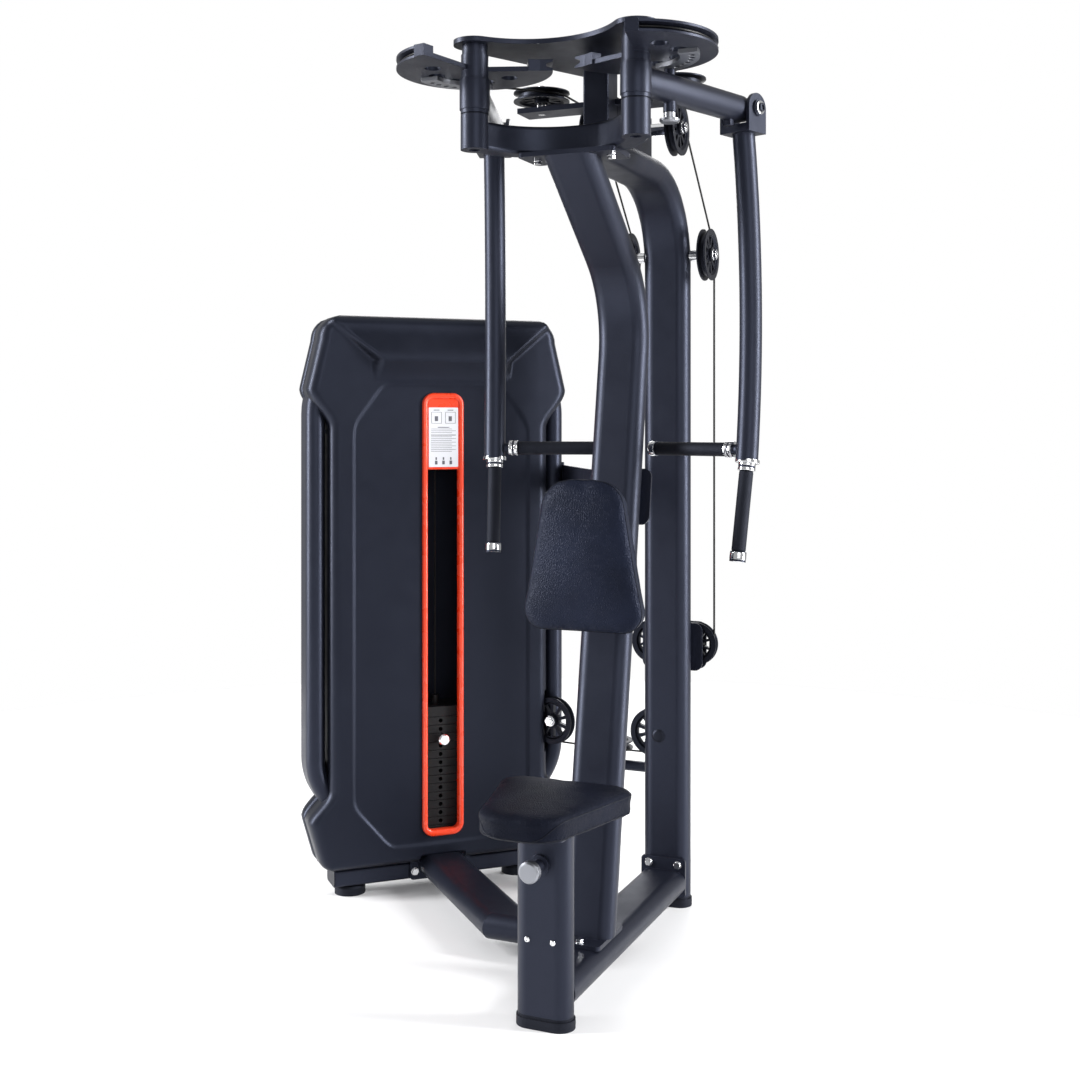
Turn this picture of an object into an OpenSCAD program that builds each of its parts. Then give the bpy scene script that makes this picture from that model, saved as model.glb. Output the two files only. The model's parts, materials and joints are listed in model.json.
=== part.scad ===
// Pec deck machine: a seat, two swinging arms on a crown and a weight tower, joined by cables.
// The user sits facing -Y. The tower stands behind on the left, turned by 45 degrees.

/* [Frame] */
// Wide side of the flat oval frame tube
tube_w = 120; // [116:1:122]
// Wall of the steel tubes
wall = 3; // [2:0.5:4]
// Lean of the main column away from the user, in degrees
col_lean = 9.8; // [9.4:0.1:10.2]
// Distance of the rear upright behind the seat post
upright_y = 796; // [790:1:800]

/* [Seat] */
// Height of the top of the seat cushion at its lowest setting
seat_top = 468; // [460:1:480]
// Thickness of the seat cushion
seat_t = 54; // [46:1:60]
// Travel of the seat from its lowest to its highest setting
seat_travel = 200; // [180:5:200]
// Number of height settings of the seat
seat_stops = 7; // [4:1:7]

/* [Arms] */
// Distance of each arm's pivot from the middle
pivot_x = 180; // [178:1:182]
// Distance of the arm pivots behind the seat post
pivot_y = 40; // [38:1:42]
// Reach of an arm from its pivot to its handle's hinge
arm_reach = 380; // [375:1:390]
// Direction of the right arm at rest, in degrees from the right-hand side
arm_angle = 71; // [70:1:72]
// Number of start positions of an arm, 10 degrees apart
start_stops = 7; // [4:1:7]

/* [Cables and pulleys] */
// Radius at which the cable lies on a cam
cam_r = 155; // [150:1:156]
// Outer radius of a large pulley
pulley_r = 65; // [63:0.5:66]
// Outer radius of a small pulley
small_pulley_r = 62.5; // [61:0.5:63]
// Radius of the steel cable
cable_r = 2.5; // [2:0.25:3]

/* [Weight tower] */
// Height of the tower's covers
tower_h = 1502; // [1490:1:1515]
// Number of weight plates below the selector pin
fixed_plates = 12; // [10:1:12]
// Number of weight plates that the selector pin lifts
lifted_plates = 3; // [1:1:3]

/* [Hidden] */

// Colours
coat = "#3b3d4c";
dark = "#1b1c22";
trim = "#f4402c";
steel = "#d4d6da";

// The origin is on the floor in the middle of the footprint, so all is moved there from the
// seat post, where the sizes below count from.
origin_x = 290;
origin_y = -419;

// Fits and shared sizes
gap = 0.3;
// The cable's room in a groove, as its bends are drawn with short straight pieces
cable_slack = 0.9;
groove_floor = cable_r + 1.2;
fit = 0.05;
tube_d = 60;
bolt_r = 5;
axle_r = 8;
big = 1000;

// Base
cap_h = 26;
base_mid_z = 65;
base_top_z = base_mid_z + tube_d / 2;
flange_t = 8;
spine_bolt_z = 110;
foot_plate_t = 10;
// A tube that is cut to fit round another stops this short of the other's middle.
cope = 12;
lap = 2;
swell = 0.15;

// Seat
pin_z = 334;
pin_r = 5;
post_top_z = seat_top - seat_t - 14;
seat_tube_w = 108;
seat_tube_d = 48;
seat_tube_low_z = 120;
seat_plate_t = 6;

// Column
col_y = 235;
col_low_z = 60;
col_run = 1341;
col_bend_r = 230;
col_bend = 60.8;
col_top_run = 340;
seat_front_y = -174;
seat_back_y = 148;
pad_front_y = 185;
pad_back_y = 235;
pad_low_z = 768;
pad_high_z = 1105;

// Crown
yoke_low_z = 1800;
yoke_mid_z = yoke_low_z + tube_d / 2;
yoke_w = 54;
yoke_y = 175;
yoke_sag = yoke_y - pivot_y;
yoke_r = (pivot_x * pivot_x + yoke_sag * yoke_sag) / (2 * yoke_sag);
yoke_cy = yoke_y - yoke_r;
yoke_half_a = acos((pivot_y - yoke_cy) / yoke_r);
upright_bend_r = 210;
shaft_r = 12.5;
hub_r = 30;
barrel_top_z = 1873;
arm_hub_z = 1876;
arm_hub_h = 74;
arm_z = 1915;
cable_z = 1978;
plate_z = 2020;
plate_t = 10;
post_front_y = 280;
post_back_y = 345;
bracket_back_y = 580;
bracket_top_z = 1960;
shelf_z = 1938;

// Pulleys and cables
groove_depth = 7.5;
pulley_t = 26;
groove_r = pulley_r - groove_depth;
small_groove_r = small_pulley_r - groove_depth;
carriage_pulley_r = 55.5;
carriage_groove_r = carriage_pulley_r - groove_depth;
strand_x = 106;
strand_y = upright_y + groove_r;
crown_pulley_x = strand_x + groove_r;
crown_pulley_y = 360;
drop_y = 540;
drop_z = cable_z - groove_r;
side_z = 1650;
carriage_x = strand_x - carriage_groove_r;
carriage_z = 657;
carriage_low_z = 590;
base_pulley_z = 420;
run_z = base_pulley_z - small_groove_r;
turn_x = -200;
turn_y = strand_y + small_groove_r;
entry_x = -352;
entry_y = 878;
bracket_tube_z = 335;

// The cable's way from the cam to the crown pulley, seen from above
crown_dx = crown_pulley_x - pivot_x;
crown_dy = crown_pulley_y - pivot_y;
cam_leave_a = atan2(crown_dy, crown_dx) - acos((cam_r + groove_r) / norm([crown_dx, crown_dy]));
// The cable's direction between the drop pulley and the side pulley
drop_a = 90 + atan2(side_z - drop_z, upright_y - drop_y);
// The bend of the cable at the turn pulley
turn_a = asin(small_groove_r / norm([entry_x - turn_x, entry_y - turn_y]))
    - atan2(turn_y - entry_y, turn_x - entry_x);
cam_front_a = -78;
cam_tail_a = 160;
cam_turn = 110;

// Arms
hinge_r = 10;
barrel_r = 25;
barrel_half = 30;
start_pin_x = 112;
start_pin_r = 6;
index_z = 1957;
index_t = 9;
handle_r = 25;
bow_r = 3000;
bow_z = 1450;
bow_out = 31;
bow_cx = arm_reach + bow_out - bow_r;
handle_top_z = 1866;
handle_low_z = 1140;
handle_low_x = bow_cx + sqrt(bow_r * bow_r - pow(bow_z - handle_low_z, 2));
stem_lean = 10;
grip_core_r = 12;
grip_r = 15.5;
low_grip_len = 180;
side_grip_z = 1165;
side_grip_x = bow_cx + sqrt(bow_r * bow_r - pow(bow_z - side_grip_z, 2));
side_grip_start = 55;
side_grip_end = 250;

// The tower's own frame has its origin on the floor under the middle of the base bar.
tower_turn = 45;
tower_u = 60;
tower_n = 943;
bar_half_w = 280;
bar_d = 80;
bar_top_z = 70;
pillar_x = 330;
pillar_w = 50;
pillar_d = 100;
pillar_bend_r = 155;
frame_low_z = 205;
frame_high_z = 1405;
foot_x = 232;
leg_x = 200;
shroud_d = 73;
shroud_t = 4;
shroud_low_z = 76;
waist_half_w = 290;
window_half_w = 42.5;
window_low_z = 165;
window_high_z = 1107;
bezel_half_w = 56.5;
bezel_low_z = 136;
bezel_high_z = 1304;
bezel_t = 5;
rod_x = 90;
rod_r = 12.5;
stack_z = 120;
plate_pitch = 22;
weight_t = 21;
weight_w = 300;
weight_d = 100;
lifted_z = stack_z + fixed_plates * plate_pitch;
head_z = lifted_z + lifted_plates * plate_pitch;
head_t = 26;
stem_r = 11;
hook_z = head_z + head_t + 24;
selector_z = lifted_z + weight_t / 2;
top_pulley_z = 1280;
rod_top_z = 1198;
bridge_d = 40;
bridge_t = 10;
// The cable climbs inside the tower at this place in the tower's frame.
climb_x = entry_x - small_groove_r * cos(turn_a);
climb_y = entry_y + small_groove_r * sin(turn_a);
climb_u = (climb_x + climb_y) / sqrt(2) - tower_u;
climb_n = (climb_y - climb_x) / sqrt(2) - tower_n;
hanger_front = climb_n - 20;
hanger_back = 18;
hanger_t = 4;

// ---------- Shared shapes ----------

module oval(w, d) {
    square([w - d, d], center = true);
    for (s = [-1, 1]) translate([s * (w - d) / 2, 0]) circle(d = d, $fn = 48);
}

module oval_ring(w = tube_w, d = tube_d) {
    difference() {
        oval(w, d);
        oval(w - 2 * wall, d - 2 * wall);
    }
}

module rounded_rect(w, h, r) {
    square([w - 2 * r, h], center = true);
    square([w, h - 2 * r], center = true);
    for (x = [-1, 1], y = [-1, 1])
        translate([x * (w / 2 - r), y * (h / 2 - r)]) circle(r, $fn = 32);
}

module ring(r_out, r_in) {
    difference() {
        circle(r_out, $fn = 64);
        circle(r_in, $fn = 64);
    }
}

// A straight run of frame tube along +Z, with what follows at its end. It reaches a little
// way into the bends at its ends.
module run(length, low_lap = 0, high_lap = 0) {
    translate([0, 0, -low_lap]) linear_extrude(low_lap + length + high_lap) oval_ring();
    translate([0, 0, length]) children();
}

// A bend of frame tube from +Z towards -Y, with what follows at its end. Its wall is thicker
// by swell on each side, so that it takes in the ends of the runs.
module bend(r, a) {
    translate([0, -r, 0]) {
        rotate([90, 0, 90]) rotate_extrude(angle = a, $fn = 96)
            translate([r, 0]) rotate(90) difference() {
                oval(tube_w + 2 * swell, tube_d + 2 * swell);
                oval(tube_w - 2 * wall - 2 * swell, tube_d - 2 * wall - 2 * swell);
            }
        rotate([a, 0, 0]) translate([0, r, 0]) children();
    }
}

// A hexagon bolt standing on a face at z = 0, and the hole that it needs
module bolt(r = bolt_r, shank = 9) {
    translate([0, 0, -shank]) cylinder(shank, r, r, $fn = 24);
    cylinder(1.5, 2 * r, 2 * r, $fn = 32);
    translate([0, 0, 1.5]) cylinder(6, 1.75 * r, 1.75 * r, $fn = 6);
}

module bolt_hole(r = bolt_r, depth = 9.5) {
    translate([0, 0, -depth]) cylinder(depth + 1, r + fit, r + fit, $fn = 24);
}

// A spoked pulley about Z, centred on its groove
module pulley(r) {
    floor_r = r - groove_depth - cable_r - cable_slack;
    web_r = floor_r - 5;
    spokes = 10;
    difference() {
        rotate_extrude($fn = 96) polygon([[axle_r + fit, -pulley_t / 2], [17, -pulley_t / 2],
            [17, -6], [web_r, -6], [web_r + 3, -11], [r, -11], [r, -8], [floor_r, -groove_floor],
            [floor_r, groove_floor], [r, 8], [r, 11], [web_r + 3, 11], [web_r, 6], [17, 6],
            [17, pulley_t / 2], [axle_r + fit, pulley_t / 2]]);
        for (i = [0:spokes - 1]) rotate(i * 360 / spokes) translate([0, 0, -8])
            linear_extrude(16) polygon([[21, -3], [web_r - 3, -9], [web_r - 3, 9], [21, 3]]);
    }
}

// An axle about Z, centred on a pulley's groove, with spacer and nut clear of the pulley
module axle(low, high, spacer_low = 0) {
    half = pulley_t / 2 + gap;
    translate([0, 0, low]) cylinder(high - low, axle_r, axle_r, $fn = 32);
    translate([0, 0, half]) cylinder(3, 14, 14, $fn = 32);
    translate([0, 0, half + 3]) cylinder(7, 13, 13, $fn = 6);
    if (spacer_low < 0) translate([0, 0, spacer_low])
        cylinder(-spacer_low - half, 14, 14, $fn = 32);
}

module mirrored(side) {
    mirror([side < 0 ? 1 : 0, 0, 0]) children();
}

module in_tower() {
    rotate(tower_turn) translate([tower_u, tower_n, 0]) children();
}

module placed() {
    translate([origin_x, origin_y, 0]) children();
}

// ---------- Cable sweeps ----------

function unit(v) = v / norm(v);
function heading(p, i) = unit(p[min(i + 1, len(p) - 1)] - p[max(i - 1, 0)]);
function carried(p, i, n) = unit(n - (n * heading(p, i)) * heading(p, i));
function normals(p, i, n) = i == len(p) ? []
    : let (m = carried(p, i, n)) concat([m], normals(p, i + 1, m));
function arc(c, u, v, r, a0, a1, steps) =
    [for (i = [0:steps]) let (a = a0 + (a1 - a0) * i / steps) c + r * (cos(a) * u + sin(a) * v)];

module cable(p) {
    sides = 8;
    n = normals(p, 0, unit([0.3, 0.2, 0.9]));
    points = [for (i = [0:len(p) - 1], k = [0:sides - 1])
        let (a = k * 360 / sides)
        p[i] + cable_r * (cos(a) * n[i] + sin(a) * cross(heading(p, i), n[i]))];
    walls = [for (i = [0:len(p) - 2], k = [0:sides - 1])
        let (a = i * sides + k, b = i * sides + (k + 1) % sides)
        [a, a + sides, b + sides, b]];
    ends = [[for (k = [0:sides - 1]) k],
        [for (k = [sides - 1:-1:0]) (len(p) - 1) * sides + k]];
    polyhedron(points, concat(walls, ends));
}

// ---------- Base and uprights ----------

module seat_post() {
    color(coat) difference() {
        union() {
            translate([0, 0, cap_h]) linear_extrude(post_top_z - cap_h) oval_ring();
            translate([0, -tube_d / 2 + 1, pin_z]) rotate([90, 0, 0]) {
                cylinder(7, 21, 21, $fn = 48);
                cylinder(39, 12, 12, $fn = 48);
            }
        }
        translate([0, -tube_d / 2 + 4, pin_z]) rotate([90, 0, 0])
            cylinder(50, pin_r + gap, pin_r + gap, $fn = 32);
    }
}

module post_sleeve() {
    sleeve_h = 50;
    color(dark) difference() {
        union() {
            translate([0, 0, post_top_z - sleeve_h]) linear_extrude(sleeve_h)
                oval(tube_w - 2 * wall - 2 * fit, tube_d - 2 * wall - 2 * fit);
            translate([0, 0, post_top_z]) linear_extrude(4) oval(tube_w, tube_d);
        }
        translate([0, 0, post_top_z - big / 2]) linear_extrude(big)
            oval(seat_tube_w + 2 * gap, seat_tube_d + 2 * gap);
    }
}

module spine_bolts() {
    for (x = [-38, 38]) translate([x, upright_y - tube_d / 2 - flange_t, spine_bolt_z])
        rotate([90, 0, 0]) children();
}

module base_spine() {
    end_y = upright_y - tube_d / 2;
    flange_low_z = 30;
    flange_h = 96;
    color(coat) difference() {
        union() {
            translate([0, cope, base_mid_z]) rotate([-90, 0, 0])
                linear_extrude(end_y - flange_t - cope) oval_ring();
            translate([0, end_y - flange_t, flange_low_z + flange_h / 2]) rotate([-90, 0, 0])
                linear_extrude(flange_t) rounded_rect(116, flange_h, 8);
        }
        linear_extrude(2 * base_top_z) oval(tube_w + 2 * fit, tube_d + 2 * fit);
        spine_bolts() bolt_hole();
    }
}

corner_x = -250;
corner_y = tower_u * sqrt(2) - corner_x;

// Everything on one side of the beam's mitre
module past_mitre(side) {
    overlap = 0.5;
    translate([corner_x, corner_y, 0]) rotate(90 + 1.5 * tower_turn)
        translate([side > 0 ? -overlap : overlap - big, -big / 2, 0])
        cube([big, big, 2 * base_top_z]);
}

module beam_bolts() {
    rotate(tower_turn) for (x = [-70, 70])
        translate([tower_u + x, tower_n - bar_d / 2 - flange_t, 48]) rotate([90, 0, 0]) children();
}

module tower_beam() {
    flange_y = tower_n - bar_d / 2 - flange_t;
    flange_h = 72;
    color(coat) difference() {
        union() {
            intersection() {
                translate([corner_x - tube_w, corner_y, base_mid_z]) rotate([90, 0, 90])
                    linear_extrude(tube_w - corner_x - tube_d / 2 - cope) oval_ring();
                past_mitre(-1);
            }
            intersection() {
                rotate(tower_turn) translate([tower_u, flange_y, base_mid_z])
                    rotate([90, 0, 0]) linear_extrude(big / 2 + 100) oval_ring();
                past_mitre(1);
            }
            rotate(tower_turn) translate([tower_u, flange_y, cap_h + flange_h / 2])
                rotate([-90, 0, 0]) linear_extrude(flange_t) rounded_rect(164, flange_h, 8);
        }
        translate([0, 0, base_mid_z]) rotate([-90, 0, 0])
            linear_extrude(big) oval(tube_w + 2 * fit, tube_d + 2 * fit);
        beam_bolts() bolt_hole();
    }
}

module foot_plate_bolts() {
    for (y = [col_y - 50, col_y + 78]) translate([0, y, base_top_z + foot_plate_t]) children();
}

module top_flange_bolts() {
    for (x = [-85, 85]) translate([x, yoke_y - 20, yoke_low_z - foot_plate_t])
        rotate([180, 0, 0]) children();
}

// Where the column's front face is, behind the seat post
function column_front(z) = col_y + (z - col_low_z) * tan(col_lean) - tube_d / 2 / cos(col_lean);

module along_column(z) {
    translate([0, col_y, col_low_z]) rotate([-col_lean, 0, 0]) translate([0, 0, z - col_low_z])
        children();
}

module main_column() {
    foot_z = base_top_z + foot_plate_t;
    flange_z = yoke_low_z - foot_plate_t;
    standoff_low_z = 905;
    standoff_high_z = 975;
    color(coat) difference() {
        union() {
            difference() {
                along_column(col_low_z) run(col_run, 0, lap) bend(col_bend_r, col_bend)
                    run(col_top_run, lap);
                translate([-100, 0, 0]) cube([200, 500, foot_z]);
                translate([-100, -300, flange_z]) cube([200, big, 500]);
            }
            translate([0, col_y + 14, base_top_z]) linear_extrude(foot_plate_t)
                rounded_rect(100, 156, 10);
            translate([0, yoke_y - 20, flange_z]) linear_extrude(foot_plate_t)
                rounded_rect(220, 110, 12);
            translate([22, 0, 0]) rotate([90, 0, -90]) linear_extrude(44)
                polygon([[-pad_back_y, standoff_low_z], [-pad_back_y, standoff_high_z],
                    [-column_front(standoff_high_z) - wall / 2, standoff_high_z],
                    [-column_front(standoff_low_z) - wall / 2, standoff_low_z]]);
            translate([-60, pad_back_y, standoff_low_z - 50]) cube([120, 6, 170]);
        }
        foot_plate_bolts() bolt_hole();
        top_flange_bolts() bolt_hole();
        // Drain hole in the foot plate
        translate([0, col_y + 8, 0]) cylinder(foot_z + 1, 15, 15, $fn = 32);
    }
}

module rear_upright() {
    bend_z = yoke_mid_z - upright_bend_r;
    yoke_face_r = yoke_r + yoke_w / 2 + fit;
    color(coat) difference() {
        union() {
            translate([0, upright_y, cap_h]) run(bend_z - cap_h, 0, lap)
                bend(upright_bend_r, 90) run(upright_y - upright_bend_r - yoke_y - yoke_w / 2
                    + tube_d / 2 - cope, lap);
            // Bracket tube that carries the base and turn pulleys
            translate([turn_x - 14, turn_y, bracket_tube_z - 24]) rotate([0, 90, 0]) difference() {
                cylinder(-turn_x + 28, 13.5, 13.5, $fn = 32);
                translate([0, 0, -1]) cylinder(-turn_x + 30, 10.5, 10.5, $fn = 32);
            }
            translate([-6, upright_y + tube_d / 2 - 2, bracket_tube_z - 36])
                cube([12, turn_y - upright_y - tube_d / 2, 24]);
            // Plate that holds the base pulley's axle
            translate([-small_groove_r - 20, strand_y + 20, bracket_tube_z - 24])
                cube([40, 6, base_pulley_z - bracket_tube_z + 44]);
            translate([-small_groove_r - 20, strand_y + 20, bracket_tube_z - 30])
                cube([40, turn_y - strand_y - 20, 12]);
        }
        translate([0, yoke_cy, yoke_low_z - 1]) cylinder(tube_d + 2, yoke_face_r, yoke_face_r,
            $fn = 192);
        spine_bolts() translate([0, 0, -flange_t]) bolt_hole(bolt_r, 5);
        translate([0, upright_y, side_z]) rotate([0, 90, 0])
            cylinder(4 * tube_w, axle_r + fit, axle_r + fit, center = true, $fn = 32);
        at_base_pulley() cylinder(150, axle_r + fit, axle_r + fit, center = true, $fn = 32);
        at_turn_pulley() cylinder(150, axle_r + fit, axle_r + fit, center = true, $fn = 32);
    }
}

module rubber_feet() {
    color(dark) {
        for (y = [0, upright_y]) translate([0, y, 0]) {
            linear_extrude(cap_h - 6) oval(tube_w + 6, tube_d + 6);
            translate([0, 0, cap_h - 6]) linear_extrude(6) oval(tube_w, tube_d);
        }
        in_tower() for (s = [-1, 1]) translate([s * foot_x, 0, 0])
            rotate_extrude($fn = 64) polygon([[0, 0], [40, 0], [40, 18], [36, 23], [20, 23],
                [20, cap_h], [0, cap_h]]);
    }
}

module column_brace() {
    beam_low_z = 1040;
    beam_h = 70;
    plate_h = 130;
    side_u = pillar_x + pillar_w / 2;
    tower_end = [side_u + 15 + tower_u, tower_n];
    end_x = (tower_end.x - tower_end.y) / sqrt(2);
    end_y = (tower_end.x + tower_end.y) / sqrt(2);
    start = [-30, 452];
    span = [end_x, end_y] - start;
    color(coat) {
        along_column(beam_low_z + beam_h / 2 - plate_h / 2) translate([0, tube_d / 2 + 0.05, 0])
            rotate([-90, 0, 0]) linear_extrude(6) translate([0, -plate_h / 2])
            rounded_rect(150, plate_h, 20);
        difference() {
            translate([start.x, start.y, beam_low_z]) rotate(atan2(span.y, span.x))
                translate([-30, -6, 0]) cube([norm(span) + 30, 12, beam_h]);
            along_column(beam_low_z - 50) translate([-100, -100, -50])
                cube([200, 100 + tube_d / 2 + 6, 300]);
        }
        in_tower() translate([side_u + 0.05, -35, beam_low_z - 8]) cube([5, 70, beam_h + 16]);
    }
}

// ---------- Crown ----------

module yoke_solid(extra) {
    translate([0, yoke_cy, yoke_mid_z]) rotate(90 - yoke_half_a)
        rotate_extrude(angle = 2 * yoke_half_a, $fn = 96)
        translate([yoke_r, 0]) rounded_rect(yoke_w + extra, tube_d + extra, 9 + extra / 2);
}

module crown_yoke() {
    color(coat) difference() {
        union() {
            difference() {
                yoke_solid(0);
                yoke_solid(-2 * wall);
            }
            for (s = [-1, 1]) translate([s * pivot_x, pivot_y, yoke_low_z])
                cylinder(barrel_top_z - yoke_low_z, hub_r, hub_r, $fn = 64);
        }
        for (s = [-1, 1]) translate([s * pivot_x, pivot_y, yoke_low_z - 1])
            cylinder(100, shaft_r + fit, shaft_r + fit, $fn = 48);
        top_flange_bolts() translate([0, 0, -foot_plate_t]) bolt_hole(bolt_r, 6);
    }
}

module pivot_shafts() {
    cam_top_z = 2000;
    color(coat) for (s = [-1, 1]) translate([s * pivot_x, pivot_y, 0])
        rotate_extrude($fn = 64) polygon([[0, yoke_low_z + 4], [shaft_r, yoke_low_z + 4],
            [shaft_r, barrel_top_z], [24, barrel_top_z], [24, arm_hub_z - gap],
            [shaft_r, arm_hub_z - gap], [shaft_r, cam_top_z + gap], [27, cam_top_z + gap],
            [27, plate_z], [0, plate_z]]);
}

module top_plate_bolts() {
    for (s = [-1, 1]) translate([s * pivot_x, pivot_y, plate_z + plate_t]) children();
    translate([0, post_front_y + 32, plate_z + plate_t]) children();
}

module top_plate() {
    lobe_r = 45;
    rear_half_w = 60;
    rear_y = 385;
    front_y = 80;
    reach = norm([pivot_x - rear_half_w, rear_y - pivot_y]);
    side_a = atan2(rear_y - pivot_y, rear_half_w - pivot_x) - acos(lobe_r / reach);
    side = [pivot_x + lobe_r * cos(side_a), pivot_y + lobe_r * sin(side_a)];
    // The scoop in the front edge touches both lobes and ends at front_y.
    front_d = pivot_y - front_y;
    scoop_r = (pivot_x * pivot_x + front_d * front_d - lobe_r * lobe_r) / (2 * (lobe_r - front_d));
    color(coat) translate([0, 0, plate_z]) difference() {
        union() {
            linear_extrude(plate_t) polygon([[-side.x, side.y], [-rear_half_w, rear_y],
                [rear_half_w, rear_y], side, [pivot_x, pivot_y - 10], [-pivot_x, pivot_y - 10]]);
            for (s = [-1, 1]) translate([s * pivot_x, pivot_y])
                cylinder(plate_t, lobe_r, lobe_r, $fn = 64);
            translate([-pivot_x, pivot_y - 28, 0]) cube([2 * pivot_x, 30, plate_t]);
        }
        translate([0, front_y - scoop_r, -1]) cylinder(plate_t + 2, scoop_r, scoop_r, $fn = 128);
        translate([0, 0, -plate_z]) top_plate_bolts() bolt_hole();
    }
}

module top_post() {
    box_w = 60;
    post_h = plate_z - yoke_low_z - tube_d;
    bracket_z = yoke_low_z + tube_d;
    bracket_h = bracket_top_z - bracket_z;
    color(coat) difference() {
        union() {
            translate([0, (post_front_y + post_back_y) / 2, bracket_z]) linear_extrude(post_h)
                difference() {
                    rounded_rect(box_w, post_back_y - post_front_y, 5);
                    rounded_rect(box_w - 8, post_back_y - post_front_y - 8, 3);
                }
            translate([0, post_back_y - 2, bracket_z + bracket_h / 2]) rotate([-90, 0, 0])
                linear_extrude(bracket_back_y - post_back_y + 2) difference() {
                    rounded_rect(box_w, bracket_h, 5);
                    rounded_rect(box_w - 8, bracket_h - 8, 3);
                }
            for (s = [-1, 1]) translate([s > 0 ? box_w / 2 - 2 : -210, post_back_y - 20, shelf_z])
                cube([210 - box_w / 2 + 2, 70, 12]);
        }
        at_drop_pulley(1) cylinder(500, axle_r + fit, axle_r + fit, center = true, $fn = 32);
        for (s = [-1, 1]) at_crown_pulley(s)
            cylinder(100, axle_r + fit, axle_r + fit, center = true, $fn = 32);
    }
}

// ---------- Pulleys ----------

module at_crown_pulley(s) {
    translate([s * crown_pulley_x, crown_pulley_y, cable_z]) children();
}

module at_drop_pulley(s) {
    translate([s * strand_x, drop_y, drop_z]) rotate([0, s * 90, 0]) children();
}

module at_side_pulley(s) {
    translate([s * strand_x, upright_y, side_z]) rotate([0, s * 90, 0]) children();
}

module at_carriage_pulley(s) {
    translate([s * carriage_x, strand_y, carriage_z]) rotate([-90, 0, 0]) children();
}

module at_base_pulley() {
    translate([-small_groove_r, strand_y, base_pulley_z]) rotate([90, 0, 0]) children();
}

module at_turn_pulley() {
    translate([turn_x, turn_y, run_z]) children();
}

module at_entry_pulley() {
    translate([entry_x, entry_y, base_pulley_z]) rotate([90, 0, -turn_a]) children();
}

module at_top_entry_pulley() {
    in_tower() translate([climb_u - small_groove_r, climb_n, top_pulley_z])
        rotate([90, 0, 0]) children();
}

module at_top_stack_pulley() {
    in_tower() translate([small_groove_r, 0, top_pulley_z]) rotate([90, 0, 0]) children();
}

module pulley_axles() {
    inner = strand_x - tube_w / 2;
    color(steel) {
        for (s = [-1, 1]) {
            at_crown_pulley(s) axle(shelf_z - cable_z, 26, shelf_z + 12 - cable_z);
            at_drop_pulley(s) axle(-strand_x + 1, 26, 30 - strand_x);
            at_side_pulley(s) axle(-strand_x + 1, 26, -inner);
        }
        at_base_pulley() axle(-26, 26, -20);
        at_turn_pulley() axle(-60, 26, bracket_tube_z - 24 + 13.5 - run_z);
        at_entry_pulley() axle(-21, 26, 0);
        at_top_entry_pulley() cylinder(62, axle_r, axle_r, center = true, $fn = 32);
        at_top_stack_pulley() cylinder(94, axle_r, axle_r, center = true, $fn = 32);
    }
}

// ---------- Cables ----------

function in_tower_point(u, n, z) = [(u + tower_u - n - tower_n) / sqrt(2),
    (u + tower_u + n + tower_n) / sqrt(2), z];

module arm_cables() {
    x = [1, 0, 0];
    y = [0, 1, 0];
    z = [0, 0, 1];
    pivot = [pivot_x, pivot_y, cable_z];
    crown = [crown_pulley_x, crown_pulley_y, cable_z];
    drop = [strand_x, drop_y, drop_z];
    side = [strand_x, upright_y, side_z];
    route = concat(arc(pivot, x, y, cam_r, cam_leave_a - cam_turn, cam_leave_a, 14),
        arc(crown, x, y, groove_r, 180 + cam_leave_a, 180, 5),
        arc(drop, y, z, groove_r, 90, drop_a, 5), arc(side, y, z, groove_r, drop_a, 0, 5));
    color(dark) for (s = [-1, 1]) mirrored(s) cable(route);
}

module stack_cable() {
    x = [1, 0, 0];
    y = [0, 1, 0];
    z = [0, 0, 1];
    base = [-small_groove_r, strand_y, base_pulley_z];
    turn = [turn_x, turn_y, run_z];
    entry = [entry_x, entry_y, base_pulley_z];
    out = [cos(turn_a), -sin(turn_a), 0];
    across = [1, 1, 0] / sqrt(2);
    route = concat(arc(base, x, z, small_groove_r, 0, -90, 7),
        arc(turn, x, y, small_groove_r, -90, -90 - turn_a, 2),
        arc(entry, out, z, small_groove_r, -90, -180, 7),
        arc(in_tower_point(climb_u - small_groove_r, climb_n, top_pulley_z), across, z,
            small_groove_r, 0, 90, 7),
        arc(in_tower_point(small_groove_r, 0, top_pulley_z), across, z,
            small_groove_r, 90, 180, 7));
    color(dark) cable(route);
}

module carriage_strands() {
    color(dark) for (s = [-1, 1]) translate([s * strand_x, strand_y, carriage_z])
        cylinder(side_z - carriage_z, cable_r, cable_r, $fn = 16);
}

module pull_strand() {
    color(dark) translate([0, strand_y, base_pulley_z])
        cylinder(carriage_low_z - base_pulley_z, cable_r, cable_r, $fn = 16);
}

module lift_strand() {
    color(dark) in_tower() translate([0, 0, hook_z])
        cylinder(top_pulley_z - hook_z, cable_r, cable_r, $fn = 16);
}

// ---------- Seat and pads ----------

module soft_slab(low_half, low_r, high_half, high_r, length) {
    hull() for (s = [-1, 1]) {
        translate([s * (low_half - low_r), low_r]) circle(low_r, $fn = 48);
        translate([s * (high_half - high_r), length - high_r]) circle(high_r, $fn = 48);
    }
}

module seat_cushion() {
    color(dark) translate([0, seat_front_y, seat_top - seat_t]) linear_extrude(seat_t)
        soft_slab(100, 75, 150, 45, seat_back_y - seat_front_y);
}

module back_pad() {
    color(dark) translate([0, pad_back_y - 0.05, pad_low_z]) rotate([90, 0, 0])
        linear_extrude(pad_back_y - pad_front_y)
        soft_slab(140, 46, 101, 70, pad_high_z - pad_low_z);
}

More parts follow.
